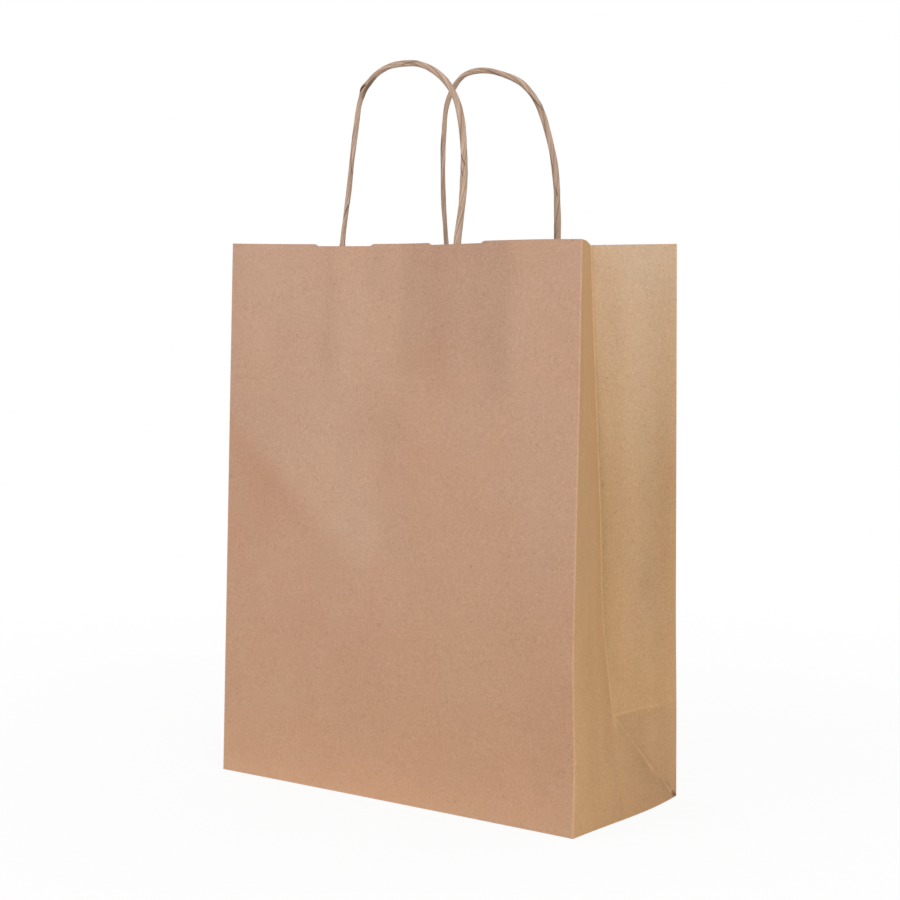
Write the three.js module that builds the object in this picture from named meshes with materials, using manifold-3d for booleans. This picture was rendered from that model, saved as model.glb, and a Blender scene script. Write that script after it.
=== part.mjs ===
// A brown kraft paper carrier bag with a folded block bottom, a pleated gusset down each side
// and two stiff handles of twisted paper cord. Each handle's legs are pressed flat inside a
// folded paper patch, which is glued to the inside of its panel.
// Millimetres. +X is to the right across the front panel, +Y runs to the back, +Z is up, and
// the origin is the middle of the base.
import * as THREE from "three";
import { mergeVertices } from "three/addons/utils/BufferGeometryUtils.js";
import Module from "manifold-3d";

const wasm = await Module();
wasm.setup();

// The sheet of paper, as it stands open.
const bagWidth = 240; // across the front and back panels
const bagDepth = 106; // front to back at the base
const bagHeight = 304; // base to the corners of the front panel's top edge
const paper = 0.16; // one layer of kraft paper
const frontLean = 10.5; // how far the front panel's top stands back from its base fold
const backLean = 4; // how far the back panel's top stands forward from its base fold
const backTrim = 1.2; // how much shorter than the front the back panel is cut
const edgeDip = 1.2; // how far the cut top edge dips at the middle of a panel
const gussetBow = 1.4; // how far the paper of a gusset half curves out between its folds

// The glued lap down the back panel, where the two edges of the sheet meet.
const seamInset = 3;
const seamWidth = 20;
const seamClear = 2; // no other place on the panel is modelled closer to the lap than this

// The folded flaps of the base.
const flapOverlap = 24; // how far the two long flaps lap over each other
const floorLayers = 3; // layers of paper pressed together over the whole base
const foldRound = 0.6; // how far the edge of a slanting fold is from the one below it

// The shallow recess in the top edge round each leg of a handle.
const notchWidth = 37;
const notchFloor = 2.2; // below the corners of the panel
const notchSlope = 1.5; // width of its sloping ends

// The twisted cord of a handle, which is slack and thick at one end and tight at the other.
const thinCord = 1.4; // radius
const thickCord = 1.95; // radius
const cordLobes = 2; // the twisted strip is a little flat, so its section has two wide sides
const lobeDepth = 0.07; // share of the radius by which they stand proud
const twistPitch = 50; // length of cord in one full turn
const thickensFrom = 0.15; // the cord grows from thin to thick between these shares of it
const thickensTo = 0.85;
const pressedHalfWidth = 2.5; // a leg is pressed flat inside its patch
const pressedHalfThickness = 0.9;
const legLength = 42; // down from the panel's top edge
const swellLength = 9; // from the pressed leg to the round cord

// The folded patch that holds a handle's legs.
const patchLength = 152;
const patchHeight = 50;
const patchDrop = 5; // from the panel's top edge to the patch
const glueLine = 0.1; // between the patch and its panel
const pocketClearance = 0.15; // round a leg, inside the patch

// The two loops, as points across the panel and up from its top edge, seen from outside the
// bag. Each begins at its thin leg.
const frontLoop = [
  [-38.3, 0],
  [-34.7, 28],
  [-30.5, 61.5],
  [-27.2, 77.5],
  [-19.4, 88.1],
  [-9, 93.4],
  [3, 94.5],
  [14.5, 93],
  [27, 86.4],
  [36.2, 75.8],
  [41, 62],
  [43.2, 39],
  [42.6, 21],
  [40.4, 0],
];
const backLoop = [
  [34.3, 0],
  [35.9, 36],
  [35.1, 63],
  [31.7, 83.6],
  [21.4, 96.6],
  [8.6, 99.3],
  [-6, 96.5],
  [-20.5, 90.2],
  [-31.1, 78.2],
  [-38.3, 60.2],
  [-42.6, 40.2],
  [-43.8, 20.2],
  [-43.5, 0],
];

// How finely the curved forms are cut into flat faces.
const gussetSegments = 4;
const lowerStations = 3;
const upperStations = 10;
const panelSegments = 10;
const cordSides = 12;
const cordStep = 3.2;
const pocketSides = 20;
const pocketCapSteps = 4;

const kraft = new THREE.MeshStandardMaterial({ color: 0xbf9980, roughness: 0.9, metalness: 0 });
const cordKraft = new THREE.MeshStandardMaterial({ color: 0xb59a7e, roughness: 0.95, metalness: 0 });
const patchKraft = new THREE.MeshStandardMaterial({ color: 0xbf9f7a, roughness: 0.9, metalness: 0 });

// Mesh helpers: triangles from points, and solids that can be joined and cut.

function geometryOf(triangles) {
  const loose = new THREE.BufferGeometry().setFromPoints(triangles);
  const merged = mergeVertices(loose, 1e-4);
  const corners = merged.index.array;
  const kept = [];
  for (let i = 0; i < corners.length; i += 3) {
    const [a, b, c] = [corners[i], corners[i + 1], corners[i + 2]];
    if (a !== b && b !== c && c !== a) kept.push(a, b, c);
  }
  return merged.setIndex(kept);
}

function solidOf(geometry) {
  const plain = geometry.clone();
  plain.deleteAttribute("normal");
  plain.deleteAttribute("uv");
  const merged = mergeVertices(plain, 1e-4);
  const mesh = new wasm.Mesh({
    numProp: 3,
    vertProperties: merged.attributes.position.array,
    triVerts: new Uint32Array(merged.index.array),
  });
  return new wasm.Manifold(mesh);
}

function geometryOfSolid(solid) {
  const mesh = solid.getMesh();
  return new THREE.BufferGeometry()
    .setAttribute("position", new THREE.BufferAttribute(mesh.vertProperties, 3))
    .setIndex(new THREE.BufferAttribute(mesh.triVerts, 1));
}

function prism(outline, low, high) {
  const shape = new THREE.Shape(outline.map(([x, y]) => new THREE.Vector2(x, y)));
  const body = new THREE.ExtrudeGeometry(shape, { depth: high - low, bevelEnabled: false });
  return body.translate(0, 0, low);
}

// Faces between two closed rings of points; the outside is on the right of the ring's run
// when it is seen with the next ring above.
function band(triangles, lower, upper) {
  lower.forEach((point, i) => {
    const j = (i + 1) % lower.length;
    triangles.push(point, lower[j], upper[j], point, upper[j], upper[i]);
  });
}

function cap(triangles, ring, facesUp) {
  const centre = new THREE.Vector3();
  ring.forEach((point) => centre.add(point));
  centre.divideScalar(ring.length);
  ring.forEach((point, i) => {
    const next = ring[(i + 1) % ring.length];
    triangles.push(centre, ...(facesUp ? [point, next] : [next, point]));
  });
}

// The folded sheet.

const halfWidth = bagWidth / 2;
const halfDepth = bagDepth / 2; // also the flat width of each half of a gusset
const sheetHeight = Math.hypot(bagHeight, frontLean);

// Where a vertical fold at a panel's edge is, at a distance up the sheet from the base.
function frontFold(rise) {
  const share = rise / sheetHeight;
  return new THREE.Vector3(halfWidth, frontLean * share - halfDepth, bagHeight * share);
}

function backFold(rise) {
  const share = rise / sheetHeight;
  const height = (bagHeight - backTrim) * share;
  return new THREE.Vector3(halfWidth, halfDepth - backLean * share, height);
}

// The pleat of a gusset goes in just as far as its two halves, which keep their flat width,
// reach between the leaning panels. Above the base it stands on the tip of a triangle.
function pleatDepth(rise) {
  const between = (backFold(rise).y - frontFold(rise).y) / 2;
  return Math.sqrt(Math.max(0, halfDepth ** 2 - between ** 2));
}

function pleatMiddle(rise) {
  return (backFold(rise).y + frontFold(rise).y) / 2;
}

const triangleTip = new THREE.Vector3(
  halfWidth - pleatDepth(halfDepth),
  pleatMiddle(halfDepth),
  Math.sqrt(halfDepth ** 2 - pleatDepth(halfDepth) ** 2),
);

const lowerRises = Array.from({ length: lowerStations }, (_, i) => (halfDepth * i) / lowerStations);
const upperRises = Array.from(
  { length: upperStations + 1 },
  (_, i) => halfDepth + ((sheetHeight - halfDepth) * i) / upperStations,
);
const rises = [...lowerRises, ...upperRises];

// The pleat's points: the paper doesn't stretch, so each step up the sheet is as long as the
// step between its points.
const pleat = [triangleTip];
for (let i = 1; i < upperRises.length; i += 1) {
  const [below, rise] = [upperRises[i - 1], upperRises[i]];
  const inward = pleatDepth(rise) - pleatDepth(below);
  const across = pleatMiddle(rise) - pleatMiddle(below);
  const step = (rise - below) * (1 - backTrim / 2 / (sheetHeight - halfDepth));
  const up = Math.sqrt(step ** 2 - inward ** 2 - across ** 2);
  const height = pleat[i - 1].z + up;
  pleat.push(new THREE.Vector3(halfWidth - pleatDepth(rise), pleatMiddle(rise), height));
}

// The right-hand gusset at one station, from the front fold to the back fold. Below the tip
// the sheet is folded along two slanting lines, with the base's triangle between them.
function gussetAt(station) {
  const rise = rises[station];
  const [front, back] = [frontFold(rise), backFold(rise)];
  const share = Math.min(1, rise / halfDepth);
  const onPleat = pleat[station - lowerStations];
  const nearFold = onPleat ?? frontFold(0).lerp(triangleTip, share);
  const farFold = onPleat ?? backFold(0).lerp(triangleTip, share);
  const bow = onPleat ? gussetBow * Math.sin((Math.PI * (rise - halfDepth)) / sheetHeight) : 0;
  const half = (from, to) =>
    Array.from({ length: gussetSegments }, (_, i) => {
      const across = i / gussetSegments;
      const point = from.clone().lerp(to, across);
      point.x += bow * Math.sin(Math.PI * across);
      return point;
    });
  return [...half(front, nearFold), nearFold, ...half(farFold, back), back];
}

// The places across a panel, each with its layers of paper and how far it is sunk behind the
// panel's outer face. Both edges of the glued lap are steps, so they hold two places each.
const plainPlace = (x) => ({ x, layers: 1, sunk: 0 });
const frontPlaces = Array.from({ length: panelSegments - 1 }, (_, i) =>
  plainPlace(-halfWidth + (bagWidth * (i + 1)) / panelSegments),
);
const seamOuter = seamInset - halfWidth;
const seamInner = seamOuter + seamWidth;
const backPlaces = [
  ...frontPlaces.filter(({ x }) => x > seamInner + seamClear).reverse(),
  plainPlace(seamInner),
  { x: seamInner, layers: 2, sunk: 0 },
  { x: seamOuter, layers: 2, sunk: 0 },
  { x: seamOuter, layers: 1, sunk: 1 },
];

// Points across a panel between its two folds. The last ring is the cut edge, which dips.
function panelAt(fold, station, places, intoBag) {
  const atTop = station === rises.length - 1;
  return places.map(({ x, layers, sunk }) => {
    const dip = atTop ? edgeDip * (1 - (x / halfWidth) ** 2) : 0;
    const point = new THREE.Vector3(x, fold.y + intoBag * sunk * paper, fold.z - dip);
    return { point, inward: new THREE.Vector2(0, intoBag * layers * paper) };
  });
}

// The sheet's outer face at one station, as a closed ring.
function ringAt(station) {
  const rise = rises[station];
  const right = gussetAt(station).map((point) => ({ point }));
  const left = right.map(({ point: p }) => ({ point: new THREE.Vector3(-p.x, p.y, p.z) })).reverse();
  const front = panelAt(frontFold(rise), station, frontPlaces, 1);
  const back = panelAt(backFold(rise), station, backPlaces, -1);
  return [...front, ...right, ...back, ...left];
}

// At a fold or in a gusset, a point of the inner face lies one layer in from both of the
// faces that meet there.
function miterOf(ring, i) {
  const { point } = ring[i];
  const distinct = (step) => {
    let j = (i + step + ring.length) % ring.length;
    while (ring[j].point.distanceTo(point) < 1e-6) j = (j + step + ring.length) % ring.length;
    return ring[j].point;
  };
  const inwardOf = (p, q) => new THREE.Vector2(p.y - q.y, q.x - p.x).normalize();
  const [n, m] = [inwardOf(distinct(-1), point), inwardOf(point, distinct(1))];
  return n.clone().add(m).multiplyScalar(paper / (1 + n.dot(m)));
}

function innerFace(ring) {
  return ring.map(({ point, inward }, i) => {
    const shift = inward ?? miterOf(ring, i);
    return new THREE.Vector3(point.x + shift.x, point.y + shift.y, point.z);
  });
}

const floorThickness = floorLayers * paper;
const sideLean = (halfWidth - triangleTip.x) / triangleTip.z; // of the triangles at the base

function foldedSheet() {
  const rings = rises.map((_, station) => ringAt(station));
  const outer = rings.map((ring) => ring.map(({ point }) => point));
  const inner = rings.map(innerFace);
  const floorInset = sideLean * floorThickness;
  inner[0].forEach((point) => {
    const side = Math.abs(point.x) > halfWidth - 2 * paper ? Math.sign(point.x) : 0;
    point.set(point.x - side * floorInset, point.y, floorThickness);
  });
  const triangles = [];
  for (let i = 1; i < rises.length; i += 1) {
    band(triangles, outer[i - 1], outer[i]);
    band(triangles, inner[i], inner[i - 1]);
  }
  band(triangles, outer.at(-1), inner.at(-1));
  cap(triangles, outer[0], false);
  cap(triangles, inner[0], true);
  return solidOf(geometryOf(triangles));
}

// The base's flaps, seen as steps of one layer of paper. Under the bag the front flap laps
// over the back one, with a slanting fold at each end; inside lie the two short end flaps.
const flapReach = halfDepth + flapOverlap / 2;

function underFlapRecesses() {
  const lapEdge = flapReach - halfDepth;
  const slantStart = halfWidth - halfDepth + foldRound; // the slanting fold's place at y = 0
  const [below, beyond] = [-1, 1]; // past the bag's own faces
  const far = halfWidth + beyond;
  const behindFrontFlap = [
    [lapEdge - slantStart, lapEdge],
    [slantStart - lapEdge, lapEdge],
    [far, slantStart - far],
    [far, halfDepth + beyond],
    [-far, halfDepth + beyond],
    [-far, slantStart - far],
  ];
  const tip = slantStart + foldRound;
  const endTriangle = [
    [tip, 0],
    [far, tip - far],
    [far, far - tip],
  ];
  const mirrored = endTriangle.map(([x, y]) => [-x, y]).reverse();
  return [
    solidOf(prism(behindFrontFlap, below, paper)),
    solidOf(prism(endTriangle, below, 2 * paper)),
    solidOf(prism(mirrored, below, 2 * paper)),
  ];
}

// Inside, the roundness of the fold at the wall keeps a flap's flat part just off the wall.
function innerEndFlaps() {
  const top = floorThickness + paper;
  const end = halfWidth - paper - sideLean * top - foldRound;
  const [front, back] = [foldRound - halfDepth, halfDepth - foldRound];
  const inward = halfWidth - flapReach;
  const outline = [
    [inward, front],
    [end, front],
    [end, back],
    [inward, back],
  ];
  const mirrored = outline.map(([x, y]) => [-x, y]).reverse();
  return [outline, mirrored].map((flap) => solidOf(prism(flap, floorThickness - paper, top)));
}

// Each side's own frame: x across the panel, y into the bag and z up the panel, from the
// middle of its top edge.
const frontSide = new THREE.Group();
frontSide.position.set(0, frontLean - halfDepth, bagHeight);
frontSide.rotation.set(-Math.atan(frontLean / bagHeight), 0, 0);
frontSide.updateMatrix();

const backSide = new THREE.Group();
backSide.position.set(0, halfDepth - backLean, bagHeight - backTrim);
backSide.rotation.set(-Math.atan(backLean / (bagHeight - backTrim)), 0, Math.PI, "ZYX");
backSide.updateMatrix();

const legsOf = (loop) => [loop[0][0], loop.at(-1)[0]];

function edgeNotch(side, x) {
  const reach = 5; // through the panel, on both sides
  const above = 3;
  const [bottom, top] = [notchWidth / 2 - notchSlope, notchWidth / 2 + above];
  const outline = [
    [x - bottom, -notchFloor],
    [x + bottom, -notchFloor],
    [x + top, above],
    [x - top, above],
  ];
  const cutter = prism(outline, -reach, reach).rotateX(Math.PI / 2);
  return solidOf(cutter.applyMatrix4(side.matrix));
}

function paperBag() {
  let bag = foldedSheet();
  innerEndFlaps().forEach((flap) => (bag = bag.add(flap)));
  underFlapRecesses().forEach((recess) => (bag = bag.subtract(recess)));
  legsOf(frontLoop).forEach((x) => (bag = bag.subtract(edgeNotch(frontSide, x))));
  legsOf(backLoop).forEach((x) => (bag = bag.subtract(edgeNotch(backSide, x))));
  return new THREE.Mesh(geometryOfSolid(bag), kraft);
}

// The handles.

const patchFace = paper + glueLine; // the patch's face on the panel
const legOffset = patchFace + paper + pocketClearance + pressedHalfThickness;

function twistedHandle(loop) {
  const [first, last] = [loop[0][0], loop.at(-1)[0]];
  const at = (x, z) => new THREE.Vector3(x, legOffset, z);
  const pressed = [legLength, legLength / 2, patchDrop]; // each leg is straight in its patch
  const points = [
    ...pressed.map((depth) => at(first, -depth)),
    ...loop.map(([x, z]) => at(x, z)),
    ...pressed.reverse().map((depth) => at(last, -depth)),
  ];
  const path = new THREE.CatmullRomCurve3(points, false, "centripetal");
  const length = path.getLength();
  const steps = Math.ceil(length / cordStep);
  const intoBag = new THREE.Vector3(0, 1, 0);
  const rings = Array.from({ length: steps + 1 }, (_, i) => {
    const share = i / steps;
    const centre = path.getPointAt(share);
    const across = intoBag.clone().cross(path.getTangentAt(share)).normalize();
    const swelling = THREE.MathUtils.smoothstep(share, thickensFrom, thickensTo);
    const radius = THREE.MathUtils.lerp(thinCord, thickCord, swelling);
    const round = THREE.MathUtils.smoothstep(centre.z, 0, swellLength);
    const turn = (2 * Math.PI * share * length) / twistPitch;
    return Array.from({ length: cordSides }, (_, j) => {
      const angle = (2 * Math.PI * j) / cordSides;
      const lobed = radius * (1 + lobeDepth * Math.cos(cordLobes * angle));
      const wide = THREE.MathUtils.lerp(pressedHalfWidth, lobed, round);
      const thick = THREE.MathUtils.lerp(pressedHalfThickness, lobed, round);
      return centre
        .clone()
        .addScaledVector(across, wide * Math.cos(angle + turn))
        .addScaledVector(intoBag, thick * Math.sin(angle + turn));
    });
  });
  const triangles = [];
  for (let i = 1; i < rings.length; i += 1) band(triangles, rings[i - 1], rings[i]);
  cap(triangles, rings[0], false);
  cap(triangles, rings.at(-1), true);
  return new THREE.Mesh(geometryOf(triangles), cordKraft);
}

// The room round one pressed leg, with a round lower end, grown by a distance.
function legPocket(x, grow) {
  const [wide, thick] = [pressedHalfWidth + grow, pressedHalfThickness + grow];
  const height = 2 * legLength;
  const pocket = new THREE.CapsuleGeometry(1, height, pocketCapSteps, pocketSides, 1);
  pocket.rotateX(Math.PI / 2).scale(wide, thick, 1);
  return solidOf(pocket.translate(x, legOffset, height / 2 - legLength - grow));
}

// A strip folded in two over the legs: flat on the panel, and raised over each leg.
function foldedPatch(loop) {
  const legs = legsOf(loop);
  const middle = (legs[0] + legs[1]) / 2;
  const [top, bottom] = [-patchDrop, -patchDrop - patchHeight];
  const slab = (thickness) =>
    solidOf(
      new THREE.BoxGeometry(patchLength, thickness, patchHeight).translate(
        middle,
        patchFace + thickness / 2,
        (top + bottom) / 2,
      ),
    );
  const roomHeight = 2 * (legOffset + pressedHalfThickness);
  const room = slab(roomHeight);
  let patch = slab(2 * paper);
  const leaf = pocketClearance + paper;
  legs.forEach((x) => (patch = patch.add(legPocket(x, leaf).intersect(room))));
  legs.forEach((x) => (patch = patch.subtract(legPocket(x, pocketClearance))));
  return new THREE.Mesh(geometryOfSolid(patch), patchKraft);
}

const bag = new THREE.Group();

function place(group, mesh, name) {
  mesh.name = name;
  group.add(mesh);
}

place(bag, paperBag(), "paper_bag");
place(frontSide, twistedHandle(frontLoop), "front_handle");
place(frontSide, foldedPatch(frontLoop), "front_handle_patch");
place(backSide, twistedHandle(backLoop), "back_handle");
place(backSide, foldedPatch(backLoop), "back_handle_patch");
bag.add(frontSide, backSide);

export default bag;
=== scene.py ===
"""A brown kraft paper carrier bag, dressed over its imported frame.

The bag is one folded sheet with an inward pleat down each side and a folded block bottom. Two
handles of twisted paper cord are held inside the panels by folded patches. Sizes are in
millimetres until a mesh is made, and +X, +Y and +Z run right, back and up from the middle of
the base.
"""

import logging
import math
from collections.abc import Sequence
from dataclasses import dataclass, field
from enum import Enum

import bpy
import numpy as np
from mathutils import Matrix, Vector


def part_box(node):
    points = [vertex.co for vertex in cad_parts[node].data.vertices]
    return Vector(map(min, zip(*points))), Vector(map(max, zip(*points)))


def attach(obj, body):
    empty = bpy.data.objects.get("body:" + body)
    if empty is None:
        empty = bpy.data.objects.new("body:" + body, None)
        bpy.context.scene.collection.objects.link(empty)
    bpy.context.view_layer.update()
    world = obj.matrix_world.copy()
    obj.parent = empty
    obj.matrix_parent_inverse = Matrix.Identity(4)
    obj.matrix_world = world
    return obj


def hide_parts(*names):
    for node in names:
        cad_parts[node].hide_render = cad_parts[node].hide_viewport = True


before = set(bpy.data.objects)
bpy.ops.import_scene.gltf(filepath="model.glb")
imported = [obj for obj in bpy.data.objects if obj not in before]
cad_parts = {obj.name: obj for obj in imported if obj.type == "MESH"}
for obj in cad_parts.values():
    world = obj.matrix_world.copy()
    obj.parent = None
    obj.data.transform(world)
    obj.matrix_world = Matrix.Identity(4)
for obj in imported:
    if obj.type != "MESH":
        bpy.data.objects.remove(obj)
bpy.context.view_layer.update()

MM = 0.001
BODY = "root"

log = logging.getLogger("paper_bag")

Array = np.ndarray
Colour = tuple[float, float, float]

# The loops of the two handles, as points across the bag and above its top edge.
FRONT_LOOP = (
    (-38.3, 0.0),
    (-34.7, 28.0),
    (-30.5, 61.5),
    (-27.2, 77.5),
    (-19.4, 88.1),
    (-9.0, 93.4),
    (3.0, 94.5),
    (14.5, 93.0),
    (27.0, 86.4),
    (36.2, 75.8),
    (41.0, 62.0),
    (43.2, 39.0),
    (42.6, 21.0),
    (40.4, 0.0),
)
BACK_LOOP = (
    (-34.3, 0.0),
    (-35.9, 36.0),
    (-35.1, 63.0),
    (-31.7, 83.6),
    (-21.4, 96.6),
    (-8.6, 99.3),
    (6.0, 96.5),
    (20.5, 90.2),
    (31.1, 78.2),
    (38.3, 60.2),
    (42.6, 40.2),
    (43.8, 20.2),
    (43.5, 0.0),
)


def linear(red: int, green: int, blue: int) -> Colour:
    """Turn a screen colour into scene values.

    Args:
        red: Screen red, 0 to 255.
        green: Screen green, 0 to 255.
        blue: Screen blue, 0 to 255.

    Returns:
        The colour's linear red, green and blue.
    """
    shares = [value / 255 for value in (red, green, blue)]
    return tuple(s / 12.92 if s <= 0.04045 else ((s + 0.055) / 1.055) ** 2.4 for s in shares)


def smoothstep(value: Array, low: float, high: float) -> Array:
    """Rise smoothly from 0 at low to 1 at high.

    Args:
        value: The values to map.
        low: Where the rise starts.
        high: Where the rise ends.

    Returns:
        The mapped values.
    """
    share = np.clip((value - low) / (high - low), 0.0, 1.0)
    return share * share * (3.0 - 2.0 * share)


def fade(value: Array, low: float, high: float) -> Array:
    """Fall smoothly from 1 at low to 0 at high."""
    return 1 - smoothstep(value, low, high)


def mix(start: Array | float, end: Array | float, share: Array) -> Array:
    """The value a share of the way from a start to an end."""
    return start + (end - start) * share


def bell(value: Array, middle: float, width: float) -> Array:
    """A smooth bump of height 1 that has faded to about a third at its width from the middle."""
    return np.exp(-(((value - middle) / width) ** 2))


def waves(across: Array, up: Array, seed: int, longest: float, shortest: float) -> Array:
    """Add up gentle waves of many directions and lengths, as in paper that was handled.

    Args:
        across: Places across the paper.
        up: Places up the paper.
        seed: Seed of the waves' directions and phases.
        longest: Longest wave.
        shortest: Shortest wave.

    Returns:
        Heights, mostly between -1 and 1.
    """
    count = 14
    upright = 0.45  # below 1, the waves are drawn out up the paper
    dice = np.random.default_rng(seed)
    total = np.zeros(np.broadcast(across, up).shape)
    for length in np.geomspace(longest, shortest, count):
        heading, phase = dice.uniform(0, math.pi), dice.uniform(0, 2 * math.pi)
        run = across * math.cos(heading) + upright * up * math.sin(heading)
        total += length / longest * np.sin(2 * math.pi * run / length + phase)
    return total / math.sqrt(count / 4)


def graded(length: float, step: float, near: Sequence[float] = (0.3, 0.7, 1.3, 2.2)) -> Array:
    """Places along a length that lie closer together near both ends.

    Args:
        length: The whole length.
        step: Largest distance between two places.
        near: Distances from an end of the places close to it.

    Returns:
        Rising places from 0 to the length.
    """
    inner = np.linspace(near[-1], length - near[-1], max(2, math.ceil(length / step)))
    return np.concatenate([[0.0], near[:-1], inner, length - np.array(near[-2::-1]), [length]])


@dataclass(frozen=True)
class Spot:
    """A soft spot on the paper, or an upright streak where it has no height of its own."""

    across: float
    wide: float
    strength: float
    up: float = 0.0
    tall: float = math.inf

    def on(self, across: Array, up: Array) -> Array:
        """The spot's strength at each place."""
        return self.strength * bell(across, self.across, self.wide) * bell(up, self.up, self.tall)


def spotted(spots: Sequence[Spot], across: Array, up: Array) -> Array:
    """The strength of several spots together at each place."""
    return sum(spot.on(across, up) for spot in spots)


class Signal:
    """A number that a node gives, with arithmetic that adds Math nodes."""

    def __init__(self, bench: "Bench", socket: bpy.types.NodeSocket) -> None:
        """Keep the bench that makes nodes and the socket that gives the number."""
        self.bench = bench
        self.socket = socket

    def _maths(self, operation: str, *values: "Signal | float") -> "Signal":
        """Add one Math node and return its result."""
        node = self.bench.node("Math", {"operation": operation}, *values)
        return Signal(self.bench, node.outputs[0])

    def __add__(self, other: "Signal | float") -> "Signal":
        """Add."""
        return self._maths("ADD", self, other)

    def __sub__(self, other: "Signal | float") -> "Signal":
        """Subtract."""
        return self._maths("SUBTRACT", self, other)

    def __rsub__(self, other: float) -> "Signal":
        """Subtract from a number."""
        return self._maths("SUBTRACT", other, self)

    def __mul__(self, other: "Signal | float") -> "Signal":
        """Multiply."""
        return self._maths("MULTIPLY", self, other)

    def __truediv__(self, other: "Signal | float") -> "Signal":
        """Divide."""
        return self._maths("DIVIDE", self, other)

    def __rtruediv__(self, other: float) -> "Signal":
        """Divide a number by this one."""
        return self._maths("DIVIDE", other, self)

    __radd__ = __add__
    __rmul__ = __mul__

    def sine(self) -> "Signal":
        """The sine of an angle in radians."""
        return self._maths("SINE", self)

    def cosine(self) -> "Signal":
        """The cosine of an angle in radians."""
        return self._maths("COSINE", self)

    def size(self) -> "Signal":
        """The number without its sign."""
        return self._maths("ABSOLUTE", self)

    def ramp(self, low: float, high: float) -> "Signal":
        """Rise smoothly from 0 at low to 1 at high.

        Args:
            low: Where the rise starts.
            high: Where the rise ends.

        Returns:
            The mapped number.
        """
        settings = {"interpolation_type": "SMOOTHSTEP"}
        node = self.bench.node("MapRange", settings, self, low, high, 0.0, 1.0)
        return Signal(self.bench, node.outputs[0])


class Bench:
    """Makes the nodes of one tree."""

    SHADER_IN_ANY_TREE = ("Math", "MapRange", "Mix", "VectorMath", "CombineXYZ", "SeparateXYZ", "TexNoise")
    NO_FAMILY = ("GroupInput", "GroupOutput")

    def __init__(self, tree: bpy.types.NodeTree, family: str) -> None:
        """Keep the tree and what its nodes are called.

        Args:
            tree: The tree that gets the nodes.
            family: The family of its nodes, Shader or Geometry.
        """
        self.tree = tree
        self.family = family
        self.material: bpy.types.Material | None = None

    def node(
        self, kind: str, settings: dict | None = None, *sockets: object, **named: object
    ) -> bpy.types.Node:
        """Add one node.

        Args:
            kind: The node's type without its family, such as Math or TexNoise.
            settings: Properties to set first.
            sockets: Values or links of the first input sockets, in order.
            named: Values or links of other input sockets, by name with _ for a space.

        Returns:
            The node.
        """
        family = "Shader" if kind in self.SHADER_IN_ANY_TREE else self.family
        if kind in self.NO_FAMILY:
            family = ""
        node = self.tree.nodes.new(f"{family}Node{kind}")
        for name, value in (settings or {}).items():
            setattr(node, name, value)
        usable = [socket for socket in node.inputs if socket.enabled]
        for socket, value in zip(usable, sockets):
            self.feed(socket, value)
        for name, value in named.items():
            wanted = name.replace("_", " ")
            self.feed(next(s for s in usable if s.name == wanted), value)
        return node

    def feed(self, socket: bpy.types.NodeSocket, value: object) -> None:
        """Link or set one input socket.

        Args:
            socket: The input socket.
            value: A Signal, a socket or a plain value. None leaves the socket as it is.
        """
        if value is None:
            return
        if isinstance(value, Signal):
            value = value.socket
        if isinstance(value, bpy.types.NodeSocket):
            self.tree.links.new(value, socket)
        elif isinstance(value, tuple) and len(value) == 3 and socket.type == "RGBA":
            socket.default_value = (*value, 1.0)
        else:
            socket.default_value = value

    @classmethod
    def for_material(cls, name: str) -> "Bench":
        """Start a new, empty material and return its bench.

        Args:
            name: The material's name.

        Returns:
            The bench of its tree.
        """
        material = bpy.data.materials.new(name)
        material.use_nodes = True
        material.node_tree.nodes.clear()
        bench = cls(material.node_tree, "Shader")
        bench.material = material
        return bench

    def finish(self, shader: bpy.types.Node) -> bpy.types.Material:
        """Link the shader to the material's output and return the material."""
        self.node("OutputMaterial", None, shader.outputs[0])
        return self.material

    def matt(
        self, colour: object, rough: Signal, specular: float, bump: bpy.types.Node
    ) -> bpy.types.Material:
        """Finish the material with the usual shader of a rough surface.

        Args:
            colour: Socket of the surface's colour.
            rough: The surface's roughness.
            specular: How strongly it reflects.
            bump: The node that gives its fine relief.

        Returns:
            The finished material.
        """
        shader = self.node("BsdfPrincipled", None, Base_Color=colour, Roughness=rough)
        shader.inputs["Specular IOR Level"].default_value = specular
        self.feed(shader.inputs["Normal"], bump.outputs["Normal"])
        return self.finish(shader)

    def vector(self, operation: str, *values: object, **named: object) -> object:
        """Add one Vector Math node and return the socket of its result."""
        return self.signal("VectorMath", {"operation": operation}, *values, **named).socket

    def attribute(self, label: str) -> Signal:
        """A number that the mesh keeps under a name."""
        return Signal(self, self.node("Attribute", {"attribute_name": label}).outputs["Fac"])

    def signal(self, kind: str, settings: dict | None = None, *sockets: object, **named: object) -> Signal:
        """Add one node and return its first usable output as a number."""
        node = self.node(kind, settings, *sockets, **named)
        return Signal(self, next(output for output in node.outputs if output.enabled))

    def blend(self, first: object, second: object, share: Signal | float, mode: str = "MIX") -> object:
        """Mix two colours.

        Args:
            first: The colour at share 0.
            second: The colour at share 1.
            share: How much of the second colour shows.
            mode: The Mix node's blend type.

        Returns:
            The mixed colour's socket.
        """
        settings = {"data_type": "RGBA", "blend_type": mode, "clamp_factor": True}
        node = self.node("Mix", settings, share, first, second)
        return next(output for output in node.outputs if output.enabled)


@dataclass(frozen=True)
class Finish:
    """What a surface is made to look like, as one named material."""

    name: str

    def material(self) -> bpy.types.Material:
        """The material, made where it isn't there yet."""
        return bpy.data.materials.get(self.name) or self._make()

    def _make(self) -> bpy.types.Material:
        """Build the material, which each kind of finish does in its own way."""
        raise NotImplementedError


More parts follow.
